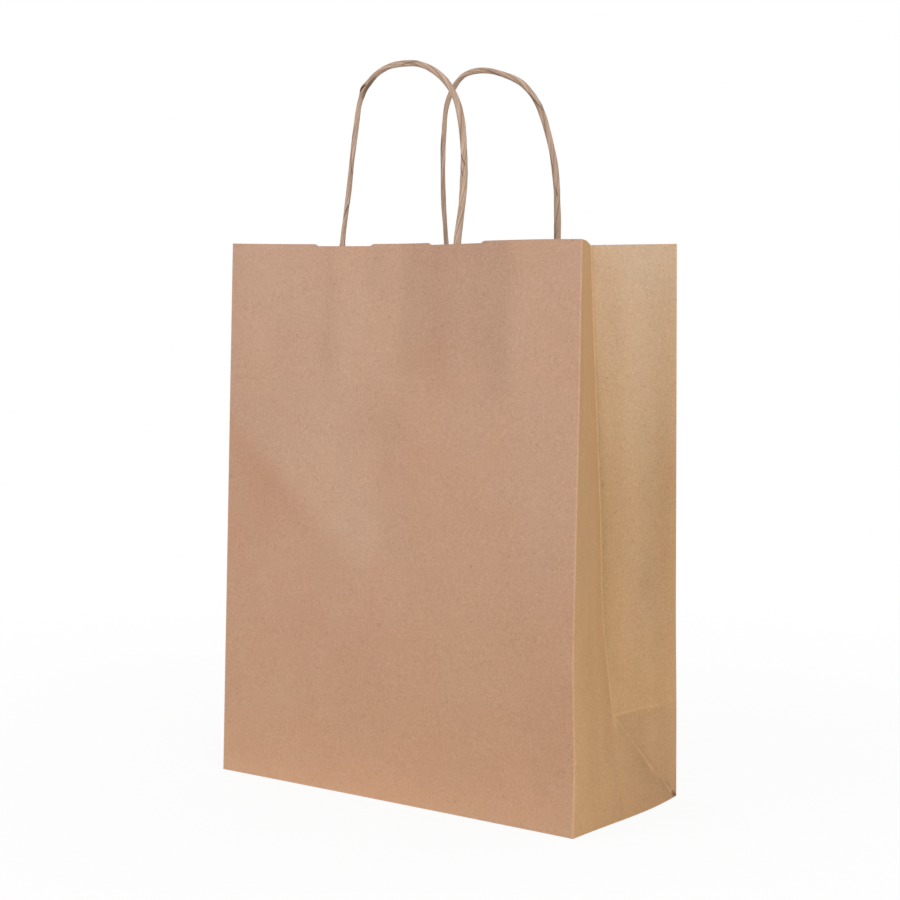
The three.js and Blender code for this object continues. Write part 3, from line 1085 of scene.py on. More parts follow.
@dataclass(frozen=True)
class SheetWearAndShade:
    """Where the sheet gets painted shade and painted light, where it is reddened, and where its folds are
    pale, partly worn and partly a painted highlight.

    A shade of 1 darkens the paper by a tenth. The place "front" on a gusset is the distance
    from its front fold.
    """

    shape: FoldedSheet
    fold_half_width: float = 0.95
    crease_drop: float = 1.9
    slant_sag: float = 3.3

    def panel_shade(self, side: Side, x: Array, up: Array) -> Array:
        """How much a large panel is darkened or lightened: uneven tone, with painted shade and painted
        light for its soft bends, ripples and base.

        Args:
            side: Which panel.
            x: Place across the panel.
            up: Distance up the sheet.

        Returns:
            0 for plain paper, below it for paler paper and above it for darker paper.
        """
        shape = self.shape
        shade = 0.12 * waves(x, up, 51 if side is Side.FRONT else 57, 170.0, 30.0)
        middle = -25.0
        # Painted light near the base of both panels, strongest across their middle.
        painted_base_light = 1.3 * bell(up, 0.0, 36.0) + 1.45 * np.exp(-up / 9.0)
        shade = shade - painted_base_light * (1.0 - 0.6 * ((x - middle) / (shape.half_width - middle)) ** 2)
        if side is Side.BACK:
            return shade
        down = shape.length - up
        # On the front: a band of painted shade under the right leg of the handle, streaks and spots of
        # painted shade and light, painted shade towards the lower right, and painted light above and
        # painted shade below the soft bend.
        band = 0.8 * smoothstep(x, 0.0, 9.0) * fade(x, 69.0, 79.0) * fade(down, 45.0, 95.0)
        streaks = spotted(TOP_SHADE_STREAKS, x, up) - 0.2 * fade(x, -10.0, 5.0)
        streaks = streaks + Spot(-16.0, 7.0, 0.4).on(x, up) * fade(down, 12.0, 32.0)
        right = 0.3 * smoothstep(x, 30.0, 110.0) * bell(up, 75.0, 75.0)
        right = right + 0.15 * smoothstep(x, 25.0, 60.0) * bell(up, 40.0, 22.0)
        light, below = shape.bend(x, up)[1:]
        shade = shade + band + streaks * fade(down, 60.0, 100.0) + right
        return shade + spotted(PANEL_SHADE_SPOTS, x, up) + 0.43 * (below - light)

    def panel_hue(self, side: Side, x: Array, up: Array) -> tuple[Array, Array]:
        """How warm and how reddish a large panel is.

        Args:
            side: Which panel.
            x: Place across the panel.
            up: Distance up the sheet.

        Returns:
            The share of the warm colour and the blush.
        """
        warm = fade(up, -40.0, 330.0)
        if side is Side.BACK:
            return warm, np.zeros_like(x)
        light, below = self.shape.bend(x, up)[1:]
        # The hue follows the painted light and shade of the soft bend: warmer and redder below it, less so
        # above it.
        warm = warm + 0.35 * below - 0.15 * light + 0.15 * smoothstep(x, -20.0, 30.0)
        warm = warm + WARM_SPOT.on(x, up)
        streak = Spot(27.0, 9.0, 1.3).on(x, up) * fade(self.shape.length - up, 60.0, 110.0)
        blush = spotted(PANEL_BLUSHES, x, up) + streak
        blush = blush + 0.8 * below - 1.1 * light - 1.5 * np.exp(-up / 5.0)
        return np.clip(warm, 0.0, 1.0), blush

    def folds(self, over: Array, up: Array) -> Array:
        """How pale the folds at a place are: partly worn paper and partly a painted highlight where they
        catch the light.

        Args:
            over: Distance round the bag.
            up: Distance up the sheet.

        Returns:
            About 1 on a fold and 0 off the folds.
        """
        shape = self.shape
        half, back_start = shape.half_depth, shape.width + shape.depth
        corners = np.array([0.0, shape.width, back_start, back_start + shape.width, shape.girth])
        outer = np.min(np.abs(over[..., None] - corners), -1)
        front = np.where(over > back_start, shape.girth - over, over - shape.width)
        off = front - half
        in_gusset = (front >= 0) & (front <= shape.depth)
        behind = in_gusset & (off >= 0)
        pleat = self._line(np.abs(off)) * (in_gusset & (up >= half))
        pleat = pleat * (1.0 + 0.8 * smoothstep(up, 110.0, 150.0))
        level = half - self.crease_drop * smoothstep(off, 25.0, 50.0)
        crease = self._line(np.abs(up - level)) * behind * (0.75 - 0.4 * smoothstep(off, 30.0, 50.0))
        beside = np.abs(shape.depth - front - up - self._sag(up)) / math.sqrt(2)
        slant = self._line(beside) * (behind & (up < half))
        slant = slant * (0.3 + 1.1 * smoothstep(half - up, 0.0, 35.0))
        base = self._line(np.maximum(up, 0.0))
        return np.maximum.reduce((1.2 * self._line(outer * 0.75), base, pleat, crease, slant))

    def _line(self, gap: Array) -> Array:
        """1 on a fold's line and 0 from about a millimetre off it."""
        return fade(gap, 0.15, self.fold_half_width)

    def _sag(self, up: Array) -> Array:
        """How far the slanting crease at the back of a gusset's base lies in from its corner."""
        return self.slant_sag * np.sin(math.pi * np.clip((up + 6.0) / 52.0, 0.0, 1.0))

    def gusset_painted_light(self, front: Array, up: Array) -> Array:
        """Share of the palest colour in a gusset, as painted light, which is high up on its back half.

        Args:
            front: Distance from the gusset's front fold.
            up: Distance up the sheet.

        Returns:
            The share at each place.
        """
        shape = self.shape
        across = (front - shape.half_depth) / shape.half_depth
        back_half = smoothstep(across, -0.02, 0.05)
        high = np.clip((up - 140.0) / (shape.length - 154.0), 0.0, 1.1) ** 1.4
        middle = bell(across, 0.5, 0.3) * smoothstep(up, 45.0, 150.0)
        behind = 0.8 * high + 0.25 * middle + 0.08 * fade(up, 60.0, 220.0)
        ahead = 0.05 * high + 0.05 * fade(up, 60.0, 150.0)
        return behind * back_half + ahead * (1 - back_half) + 0.06 * fade(up, 40.0, 60.0)

    def gusset_blush(self, front: Array, up: Array) -> Array:
        """How reddish a gusset is: less so behind its pleat, more so at its back corner.

        Args:
            front: Distance from the gusset's front fold.
            up: Distance up the sheet.

        Returns:
            The blush at each place.
        """
        off = front - self.shape.half_depth
        behind = np.where(off > 0, -1.5 * np.exp(-np.maximum(off, 0.0) / 12.0), 0.0)
        corner = 0.6 * smoothstep(off, 0.0, 30.0) * fade(up, 40.0, 60.0)
        # Redder round the painted shadow at the back corner.
        corner_red = 2.5 * bell(np.hypot(self.shape.depth - front, up), 2.0, 3.5)
        return 0.7 * behind * bell(up, 150.0, 60.0) + corner + corner_red

    def gusset_shade(self, front: Array, up: Array) -> Array:
        """How much a gusset is darkened or lightened by painted shade and painted light, with some uneven
        tone.

        Args:
            front: Distance from the gusset's front fold.
            up: Distance up the sheet.

        Returns:
            0 for plain paper, below it for paler paper and above it for darker paper.
        """
        half = self.shape.half_depth
        off = front - half
        # Broad painted shade and painted light near the top of the gusset and low down.
        ends = np.where(off > 0, 0.3, -0.2) * smoothstep(up, 225.0, 290.0)
        ends = ends - np.where(off > 0, 0.15, 0.0) * fade(up, 60.0, 100.0)
        ends = ends + np.where(off > 0, 0.4, 0.1) * fade(up, half - 4.0, half + 2.0)
        ends = ends - 0.45 * bell(front, 27.0, 16.0) * fade(up, 60.0, 95.0)
        streaks = 0.35 * waves(front * 2.2, up * 0.5, 61, 120.0, 25.0)
        spots = spotted(GUSSET_SHADE_SPOTS, off, up)
        return self._pleat_shade(off, up) + self._base_shade(front, up) + spots + ends + streaks

    def _pleat_shade(self, off: Array, up: Array) -> Array:
        """Painted shade in the groove behind the pleat, and on the paper before its lower end.

        Args:
            off: Distance behind the pleat.
            up: Distance up the sheet.

        Returns:
            The shade at each place.
        """
        half = self.shape.half_depth
        above = smoothstep(up, half + 25.0, half + 50.0)
        deep = 0.35 + 0.45 * smoothstep(up, 100.0, 150.0)
        groove = np.where(off > 0, deep * np.exp(-off / 7.0) + 0.6 * bell(off, 1.6, 1.2), 0.0)
        low = 0.3 * (1 - above) * smoothstep(up, half - 6.0, half + 4.0)
        low = low * (bell(off, -3.5, 3.0) + 0.8 * bell(off, -1.4, 1.0))
        return groove * above * fade(up, 215.0, 270.0) + low

    def _base_shade(self, front: Array, up: Array) -> Array:
        """Painted shade on the triangle at the base of a gusset, beside its slanting crease, and on the
        corner behind it.

        Args:
            front: Distance from the gusset's front fold.
            up: Distance up the sheet.

        Returns:
            The shade at each place.
        """
        shape = self.shape
        half = shape.half_depth
        behind = shape.depth - front - self._sag(up)
        gap = np.where(front > half, behind, front)
        inside = (gap - up) / math.sqrt(2)
        near_corner = 0.4 + 0.6 * smoothstep(half - up, 5.0, 35.0)
        reach = np.where(front > half, near_corner, 0.1) * np.where(inside > 0, 1.0, 0.0)
        slant = reach * (1.3 * np.exp(-np.maximum(inside, 0.0) / 9.0) + 0.3 * bell(inside, 0.9, 0.8))
        soft = 0.6 * bell(front, 43.0, 6.0) - 0.4 * bell(front, 59.0, 7.0) + 0.7 * bell(front, 84.0, 14.0)
        triangle = fade(up, half - 8.0, half) * (slant + soft * smoothstep(inside, -5.0, 0.0))
        corner = 0.5 * fade(up, half - 1.5, half) * smoothstep(up - behind, -1.0, 1.0)
        return triangle + corner + self._corner_shade(shape.depth - front, up)

    @staticmethod
    def _corner_shade(out: Array, up: Array) -> Array:
        """Painted shade at the back corner of the base: a painted shadow in a small split at its tip, with
        a painted highlight on its lip and a painted shadow in a nick.

        Args:
            out: Distance from the gusset's back fold.
            up: Distance up the sheet.

        Returns:
            The shade at each place.
        """
        along, across = 0.83 * out + 0.56 * up, 0.83 * up - 0.56 * out
        split = Spot(3.4, 3.0, 8.5, -0.15, 0.95).on(along, across)
        lip = Spot(4.6, 1.6, 1.6, 1.8, 0.7).on(along, across)
        nick = Spot(8.4, 1.1, 2.2, 8.2, 1.6).on(out, up)
        return split - lip + nick + 0.6 * np.exp(-np.hypot(out, up) / 6.0)


@dataclass
class PaperBag:
    """Builds the folded sheet with its flaps and its glued lap, and dresses it."""

    shape: FoldedSheet
    finish: PaperFinish
    step: float = 3.2
    layer_gap: float = 0.04
    flap_roll: float = 2.5
    lap_clearance: float = 0.03

    def __post_init__(self) -> None:
        """Work out the rows of places up the sheet, and its marks of painted shade, painted light and
        wear.
        """
        shape = self.shape
        self.wear_and_shade = SheetWearAndShade(shape)
        self.low_rows = graded(shape.half_depth, self.step)
        self.high_rows = shape.half_depth + graded(shape.length - shape.half_depth, self.step)
        self.narrowing = graded(1.0, 0.08, (0.006, 0.02, 0.05, 0.1))
        self.back_start = shape.width + shape.depth

    def build(self) -> bpy.types.Object:
        """Make the whole sheet.

        Returns:
            The bag's object, dressed and riding on the body.
        """
        quilt = Quilt()
        self._panels(quilt)
        self._gussets(quilt)
        self._flaps(quilt)
        self._lap(quilt)
        bag = quilt.mesh("kraft_sheet", self.shape.paper)
        bag.data.materials.append(self.finish.material())
        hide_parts("paper_bag")
        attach(bag, BODY)
        log.info("folded sheet: %d faces", len(bag.data.polygons))
        return bag

    def _start(self, side: Side) -> float:
        """Where a large panel starts round the bag."""
        return 0.0 if side is Side.FRONT else self.back_start

    def _columns(self, side: Side) -> Array:
        """Places across a large panel, from its left end as seen from outside.

        Args:
            side: Which panel.

        Returns:
            Rising places, with one at each end of a slope of the cut edge and beside the seam.
        """
        shape, slope = self.shape, self.shape.notch_slope
        notches = shape.front_notches if side is Side.FRONT else shape.back_notches
        ends = [x for start, end in notches for x in (start, start + slope, end - slope, end)]
        kept = [-side.value * x for x in ends]
        if side is Side.BACK:
            seam, step = shape.half_width - shape.seam_inset, 0.06
            kept += [seam - step, seam + step]
        gap = 0.9
        plain = graded(shape.width, self.step) - shape.half_width
        far = [x for x in plain if min(abs(x - place) for place in kept) > gap]
        return np.sort(np.array(far + kept)) + shape.half_width

    def _grid(self, over: Array, up: Array) -> tuple[Array, Array]:
        """Places of a grid whose top rows follow the cut edge.

        Args:
            over: Distances round the bag, one for each column.
            up: Distances up the sheet, one for each row.

        Returns:
            Both distances at each point of the grid.
        """
        over, up = np.meshgrid(over, up)
        near_top = smoothstep(up, self.shape.length - 9.0, self.shape.length)
        return over, up - near_top * self.shape.cut(over)

    def _raised(self, over: Array, up: Array, height: Array) -> Array:
        """Points of the sheet, raised outwards by a height."""
        return self.shape.soft(over, up) + height[..., None] * self.shape.outward(over, up)

    def _panels(self, quilt: Quilt) -> None:
        """Add the front and back panels.

        Args:
            quilt: Collects the grids.
        """
        shape, wear_and_shade = self.shape, self.wear_and_shade
        rows = np.concatenate([self.low_rows, self.high_rows[1:]])
        for side in Side:
            start = self._start(side)
            over, up = self._grid(start + self._columns(side), rows)
            x = -side.value * (over - start - shape.half_width)
            height = shape.panel_relief(side, x, up)
            if side is Side.BACK:
                sunk = (x < shape.seam_inset - shape.half_width) * shape.paper
                height = height - sunk * smoothstep(x, -shape.half_width, 1.5 - shape.half_width)
            warm, blush = wear_and_shade.panel_hue(side, x, up)
            shade, fold = wear_and_shade.panel_shade(side, x, up), wear_and_shade.folds(over, up)
            points = self._raised(over, up, height)
            quilt.add(points, warm=warm, blush=blush, fold=fold, shade=shade)

    def _gussets(self, quilt: Quilt) -> None:
        """Add the four upper halves, the four slanting corners and the two triangles.

        Args:
            quilt: Collects the grids.
        """
        depth, half = self.shape.depth, self.shape.half_depth
        shares = graded(half, self.step) / half
        low = self.low_rows[:, None]
        for mirrored in (False, True):
            for offset in (0.0, half):
                self._gusset_grid(quilt, mirrored, *np.meshgrid(offset + shares * half, self.high_rows))
            self._gusset_grid(quilt, mirrored, shares * low, low * np.ones_like(shares))
            self._gusset_grid(quilt, mirrored, depth - (shares * low)[:, ::-1], low * np.ones_like(shares))
            triangle = low + self.narrowing * (depth - 2 * low)
            self._gusset_grid(quilt, mirrored, triangle, low * np.ones_like(self.narrowing))

    def _gusset_grid(self, quilt: Quilt, mirrored: bool, front: Array, up: Array) -> None:
        """Add one grid of a gusset.

        Args:
            quilt: Collects the grids.
            mirrored: Whether it is the left gusset.
            front: Distances from the gusset's front fold.
            up: Distances up the sheet.
        """
        over, wear_and_shade = self._round(mirrored, front), self.wear_and_shade
        points = self._raised(over, up, self.shape.gusset_relief(front, up, 37 if mirrored else 31))
        pale, blush = wear_and_shade.gusset_painted_light(front, up), wear_and_shade.gusset_blush(front, up)
        fold, shade = wear_and_shade.folds(over, up), wear_and_shade.gusset_shade(front, up)
        # The gussets take the yellow colour in full as painted shade, with painted light and shade from
        # their marks.
        quilt.add(points, mirrored, tone=1.0, pale=pale, blush=blush, fold=fold, shade=shade)

    def _round(self, mirrored: bool, front: Array) -> Array:
        """Distance round the bag of places in a gusset, from their distance to its front fold."""
        return self.shape.girth - front if mirrored else self.shape.width + front

    def _flaps(self, quilt: Quilt) -> None:
        """Add the flaps of the base: the front one outermost, the end ones innermost.

        Args:
            quilt: Collects the grids.
        """
        shape = self.shape
        layer = shape.paper + self.layer_gap
        rows = graded(shape.flap_reach, self.step)[::-1]
        for side in Side:
            over, in_from = np.meshgrid(self._start(side) + self._columns(side), rows)
            edge = shape.soft(over, np.zeros_like(over))
            settled = smoothstep(in_from, 0.0, self.flap_roll)
            lift = layer * settled if side is Side.BACK else 0.0
            x = edge[..., 0] * (shape.half_width - in_from) / shape.half_width
            y = edge[..., 1] - side.value * in_from
            z = edge[..., 2] * (1 - settled) + lift
            quilt.add(np.stack([x, y, z], -1), warm=1.0, fold=self.wear_and_shade.folds(over, in_from))
        for mirrored in (False, True):
            share, in_from = np.meshgrid(self.narrowing, rows)
            over = self._round(mirrored, share * shape.depth)
            edge = shape.soft(over, np.zeros_like(over))
            settled = smoothstep(in_from, 0.0, self.flap_roll)
            x = edge[..., 0] + in_from * (1 if mirrored else -1)
            bow = shape.front_base_bow * (1 - (x / shape.half_width) ** 2)
            y = edge[..., 1] * (1 - settled * (np.maximum(bow, 0.0) + 0.5) / shape.half_depth)
            z = edge[..., 2] * (1 - settled) + 2 * layer * settled
            # The end flaps under the base take part of the yellow colour as painted shade.
            quilt.add(np.stack([x, y, z], -1), mirrored, tone=0.6)

    def _lap(self, quilt: Quilt) -> None:
        """Add the sheet's other end, which is glued inside the back panel.

        Args:
            quilt: Collects the grids.
        """
        shape = self.shape
        rows = np.concatenate([self.low_rows[3:], self.high_rows[1:]])
        end = self.back_start + shape.width - shape.seam_inset
        over, up = self._grid(end - graded(shape.seam_width, self.step)[::-1], rows)
        x = shape.half_width - (over - self.back_start)
        height = shape.panel_relief(Side.BACK, x, up) - shape.paper - self.lap_clearance
        # The lap inside the back panel takes part of the yellow colour as painted shade.
        quilt.add(self._raised(over, up, height), tone=0.4)


@dataclass
class PanelPlane:
    """A large panel's own frame: across it, up it, and into the bag from its outer face."""

    shape: FoldedSheet
    side: Side

    def __post_init__(self) -> None:
        """Work out the frame's origin, at the middle of the top edge, and its directions."""
        shape = self.shape
        if self.side is Side.FRONT:
            lean, height = shape.front_lean, shape.height
            self.origin = np.array([0.0, lean - shape.half_depth, height])
        else:
            lean, height = -shape.back_lean, shape.height - shape.back_trim
            self.origin = np.array([0.0, shape.half_depth + lean, height])
        run = math.hypot(lean, height)
        self.up = np.array([0.0, lean / run, height / run])
        self.into = -self.side.value * np.array([0.0, height / run, -lean / run])

    def point(self, x: Array, rise: Array, inside: Array) -> Array:
        """Points from their place across, above the top edge and into the bag.

        Args:
            x: Place across the bag.
            rise: Distance above the top edge, along the panel.
            inside: Distance from the panel's outer face into the bag.

        Returns:
            Points, one for each place.
        """
        x, rise, inside = np.broadcast_arrays(x, rise, inside)
        ahead = np.stack([x, np.zeros_like(x), np.zeros_like(x)], -1)
        return self.origin + ahead + rise[..., None] * self.up + inside[..., None] * self.into


@dataclass(frozen=True)
class CordFold:
    """A fold line in a cord: its middle, half its length, and where it starts and ends.

    The start and end go from -1, on the inner side of the loop, to 1 on its outer side. The
    swell is how far the cord widens there on its outer side, as a share of its radius.
    """

    x: float
    rise: float
    reach: float
    start: float
    end: float
    depth: float
    swell: float = 0.0


@dataclass
class TwistedHandle:
    """A loop of twisted paper cord, with its legs pressed flat inside its patch."""

    name: str
    node: str
    plane: PanelPlane
    finish: CordFinish
    loop: Sequence[tuple[float, float]]
    folds: Sequence[CordFold]
    shadows: Sequence[CordFold]
    thin: float = 1.35
    thick: float = 1.9
    pitch: float = 62.0
    crumple: float = 0.22
    crumple_pace: float = 110.0
    wander_pace: float = 70.0
    leg_offset: float = 1.47
    pressed_half_width: float = 2.5
    pressed_half_thickness: float = 0.85
    loop_middle: float = 45.0
    step: float = 0.9
    sides: int = 36

    def route(self) -> tuple[Array, Array]:
        """The cord's centre line.

        Returns:
            The places across the bag and above the top edge, close together along the cord.
        """
        shape = self.plane.shape
        (first, _), (last, _) = self.loop[0], self.loop[-1]
        pressed = (-shape.leg_length, -shape.leg_length / 2, -shape.patch_drop)
        legs_down = [(first, rise) for rise in pressed]
        legs_up = [(last, rise) for rise in reversed(pressed)]
        points = np.array([*legs_down, *self.loop, *legs_up])
        before, after = 2 * points[0] - points[1], 2 * points[-1] - points[-2]
        points = np.vstack([before, points, after])
        pieces = []
        for a, b, c, d in zip(points[:-3], points[1:-2], points[2:-1], points[3:]):
            knots = np.cumsum([0.0, *(math.sqrt(math.dist(p, q)) for p, q in ((a, b), (b, c), (c, d)))])
            count = max(2, math.ceil(math.dist(b, c) / self.step))
            t = np.linspace(knots[1], knots[2], count, endpoint=False)[:, None]
            spans = zip((a, b, c), (b, c, d), knots, knots[1:])
            ab, bc, cd = (mix(p, q, (t - start) / (end - start)) for p, q, start, end in spans)
            left = mix(ab, bc, (t - knots[0]) / (knots[2] - knots[0]))
            right = mix(bc, cd, (t - knots[1]) / (knots[3] - knots[1]))
            pieces.append(mix(left, right, (t - knots[1]) / (knots[2] - knots[1])))
        line = np.vstack([*pieces, points[-2]])
        return line[:, 0], line[:, 1]

    def build(self) -> bpy.types.Object:
        """Sweep the twisted section along the route.

        Returns:
            The handle's object, dressed and riding on the body.
        """
        x, rise = self.route()
        shape = self.plane.shape
        relief = shape.panel_relief(self.plane.side, x, shape.length + np.minimum(rise, 0.0))
        held = 1 - smoothstep(rise, 0.0, 25.0)
        loose = smoothstep(rise, -shape.patch_drop, 1.0)
        inside = self.leg_offset + 0.1 * loose - relief * held
        points = self.plane.point(x, rise, inside) * MM
        data = bpy.data.meshes.new(self.name)
        data.from_pydata(points, [(i, i + 1) for i in range(len(points) - 1)], [])
        marks = {"loose": loose, **self._fold_marks(x, rise)}
        for label, values in marks.items():
            layer = data.attributes.new(label, "FLOAT", "POINT")
            layer.data.foreach_set("value", values.astype(np.float32))
        away = np.stack([x, rise - self.loop_middle], -1)
        away = away / np.linalg.norm(away, axis=-1, keepdims=True)
        away = away[:, :1] * np.array([1.0, 0.0, 0.0]) + away[:, 1:] * self.plane.up
        layer = data.attributes.new("away", "FLOAT_VECTOR", "POINT")
        layer.data.foreach_set("vector", away.astype(np.float32).ravel())
        cord = bpy.data.objects.new(self.name, data)
        bpy.context.scene.collection.objects.link(cord)
        tree, inputs = self._tree(self.finish.material())
        modifier = cord.modifiers.new("twist", "NODES")
        modifier.node_group = tree
        for label, value in inputs.items():
            modifier[tree.interface.items_tree[label].identifier] = value
        settle(cord, 60.0)
        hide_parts(self.node)
        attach(cord, BODY)
        log.info("%s: %d faces", self.name, len(cord.data.polygons))
        return cord

    def _fold_marks(self, x: Array, rise: Array) -> dict[str, Array]:
        """Where the fold lines run along the cord.

        Args:
            x: Places of the centre line across the bag.
            rise: Its places above the top edge.

        Returns:
            How far out of the loop the fold is at each place and how deep, the same for
            the broad shadows, and how much the cord is widened.
        """
        step = np.hypot(np.diff(x), np.diff(rise))
        along = np.concatenate([[0.0], np.cumsum(step)])
        marks = {"swell": np.zeros_like(x)}
        for folds, place, amount in ((self.folds, "slant", "crease"), (self.shadows, "side", "shadow")):
            marks[place], marks[amount] = np.zeros_like(x), np.zeros_like(x)
            for fold in folds:
                middle = along[np.argmin(np.hypot(x - fold.x, rise - fold.rise))]
                share = (along - middle) / fold.reach
                depth = fold.depth * np.sqrt(np.clip(1 - share**2, 0.0, 1.0))
                line = mix(fold.start, fold.end, (share + 1) / 2)
                marks[place] = np.where(depth > marks[amount], line, marks[place])
                marks[amount] = np.maximum(marks[amount], depth)
                marks["swell"] = marks["swell"] + fold.swell * bell(share, 0.0, 1.0)
        return marks

    def _tree(self, material: bpy.types.Material) -> tuple[bpy.types.NodeTree, dict[str, float]]:
        """Build the node tree that twists the cord.

        Args:
            material: The material that the cord gets.

        Returns:
            The tree and the value of each of its named inputs.
        """
        tree = bpy.data.node_groups.new(f"{self.name}_twist", "GeometryNodeTree")
        inputs = {
            "Thin Radius": self.thin * MM,
            "Thick Radius": self.thick * MM,
            "Pitch": self.pitch * MM,
            "Pressed Half Width": self.pressed_half_width * MM,
            "Pressed Half Thickness": self.pressed_half_thickness * MM,
        }
        tree.interface.new_socket("Route", in_out="INPUT", socket_type="NodeSocketGeometry")
        for label in inputs:
            tree.interface.new_socket(label, in_out="INPUT", socket_type="NodeSocketFloat")
        tree.interface.new_socket("Cord", in_out="OUTPUT", socket_type="NodeSocketGeometry")
        bench = Bench(tree, "Geometry")
        given = bench.node("GroupInput").outputs
        size = {label: Signal(bench, given[label]) for label in inputs}
        curve = bench.node("MeshToCurve", None, given["Route"]).outputs[0]
        position = bench.node("InputPosition").outputs[0]
        curve = self._store(bench, curve, "centre", "FLOAT_VECTOR", position)
        spline = bench.node("SplineParameter").outputs
        curve = self._store(bench, curve, "along", "FLOAT", spline["Length"])
        share = Signal(bench, spline["Factor"])
        curve = self._store(bench, curve, "share", "FLOAT", share.socket)
        turn = Signal(bench, spline["Length"]) / size["Pitch"] * (2 * math.pi)
        curve = bench.node("SetCurveTilt", None, curve, Tilt=turn).outputs[0]
        profile = self._profile(bench)
        swept = bench.node("CurveToMesh", None, curve, profile)
        bench.feed(swept.inputs["Fill Caps"], True)
        body = self._shape_section(bench, swept.outputs[0], size)
        body = self._crumple(bench, body)
        body = bench.node("SetShadeSmooth", None, body).outputs[0]
        body = bench.node("RealizeInstances", None, body).outputs[0]
        body = bench.node("SetMaterial", None, body, Material=material).outputs[0]
        bench.node("GroupOutput", None, body)
        return tree, inputs

    @staticmethod
    def _store(bench: Bench, geometry: object, label: str, kind: str, value: object) -> object:
        """Keep a value on the geometry under a name."""
        settings = {"data_type": kind, "domain": "POINT"}
        return bench.node("StoreNamedAttribute", settings, geometry, Name=label, Value=value).outputs[0]

    @staticmethod
    def _named(bench: Bench, label: str, kind: str = "FLOAT") -> Signal:
        """Read a value that was kept under a name."""
        return bench.signal("InputNamedAttribute", {"data_type": kind}, label)

    def _profile(self, bench: Bench) -> object:
        """The cord's section: a circle of unit radius that knows its place around.

        Args:
            bench: The bench of the tree.

        Returns:
            Socket of the section's curve.
        """
        circle = bench.node("CurvePrimitiveCircle", {"mode": "RADIUS"}, self.sides, Radius=1.0).outputs[0]
        around = bench.node("SplineParameter").outputs["Factor"]
        ring = bench.node("InputPosition").outputs[0]
        circle = self._store(bench, circle, "ring", "FLOAT_VECTOR", ring)
        return self._store(bench, circle, "around", "FLOAT", around)

    def _shape_section(self, bench: Bench, body: object, size: dict[str, Signal]) -> object:
        """Give the section its size, its strips and its pressed ends.

        Args:
            bench: The bench of the tree.
            body: Socket of the swept cord of unit radius.
            size: The tree's named sizes.

        Returns:
            Socket of the shaped cord.
        """
        centre = self._named(bench, "centre", "FLOAT_VECTOR").socket
        offset = bench.vector("SUBTRACT", bench.node("InputPosition").outputs[0], centre)
        away = self._named(bench, "away", "FLOAT_VECTOR").socket
        outer = Signal(bench, bench.vector("DOT_PRODUCT", offset, away))
        body = self._store(bench, body, "outer", "FLOAT", outer)
        crease = self._named(bench, "crease")
        line = self.finish.fold_line(outer, self._named(bench, "slant"), crease)
        angle = self._named(bench, "around") * (2 * math.pi)
        swelling = self._named(bench, "share").ramp(0.15, 0.85)
        radius = size["Thin Radius"] + (size["Thick Radius"] - size["Thin Radius"]) * swelling
        uneven = (angle + angle).cosine() * 0.06 + self._wander(bench) * 0.12
        swell = self._named(bench, "swell") * outer.ramp(-0.3, 0.9)
        radius = radius * (uneven + 1.0 + line * -0.1 + crease * outer * 0.1 + swell)
        sized = bench.vector("SCALE", offset, Scale=radius)
        into = tuple(float(v) for v in self.plane.into)
        depth = Signal(bench, bench.vector("DOT_PRODUCT", offset, into))
        across = Signal(bench, bench.node("SeparateXYZ", None, offset).outputs[0])
        wide = bench.node("CombineXYZ", None, across * size["Pressed Half Width"], 0.0, 0.0).outputs[0]
        deep = bench.vector("SCALE", into, Scale=depth * size["Pressed Half Thickness"])
        pressed = bench.vector("ADD", wide, deep)
        loose = self._named(bench, "loose")
        moved = bench.signal("Mix", {"data_type": "VECTOR"}, loose, pressed, sized)
        placed = bench.vector("ADD", centre, moved)
        return bench.node("SetPosition", None, body, Position=placed).outputs[0]

    def _wander(self, bench: Bench) -> Signal:
        """A slow change along the cord, so that no two turns are alike.

        Args:
            bench: The bench of the tree.

        Returns:
            The change, from about -0.3 to 0.3.
        """
        along, handle = self._named(bench, "along") * self.wander_pace, len(self.name) + 8.0
        place = bench.node("CombineXYZ", None, along, handle, 0.0).outputs[0]
        return bench.signal("TexNoise", None, Vector=place, Scale=1.0, Detail=2.0) - 0.5

    def _crumple(self, bench: Bench, body: object) -> object:
        """Press small uneven creases into the cord, along its twist.

        Args:
            bench: The bench of the tree.
            body: Socket of the shaped cord.

        Returns:
            Socket of the creased cord.
        """
        angle = self._named(bench, "around") * (2 * math.pi)
        along = self._named(bench, "along") * self.crumple_pace
        place = bench.node("CombineXYZ", None, angle.cosine() * 1.4, angle.sine() * 1.4, along).outputs[0]
        noise = bench.signal("TexNoise", None, Vector=place, Scale=1.3, Detail=3.0) - 0.5
        height = noise * self._named(bench, "loose") * (self.crumple * MM)
        normal = bench.node("InputNormal").outputs[0]
        offset = bench.vector("SCALE", normal, Scale=height)
        return bench.node("SetPosition", None, body, Offset=offset).outputs[0]


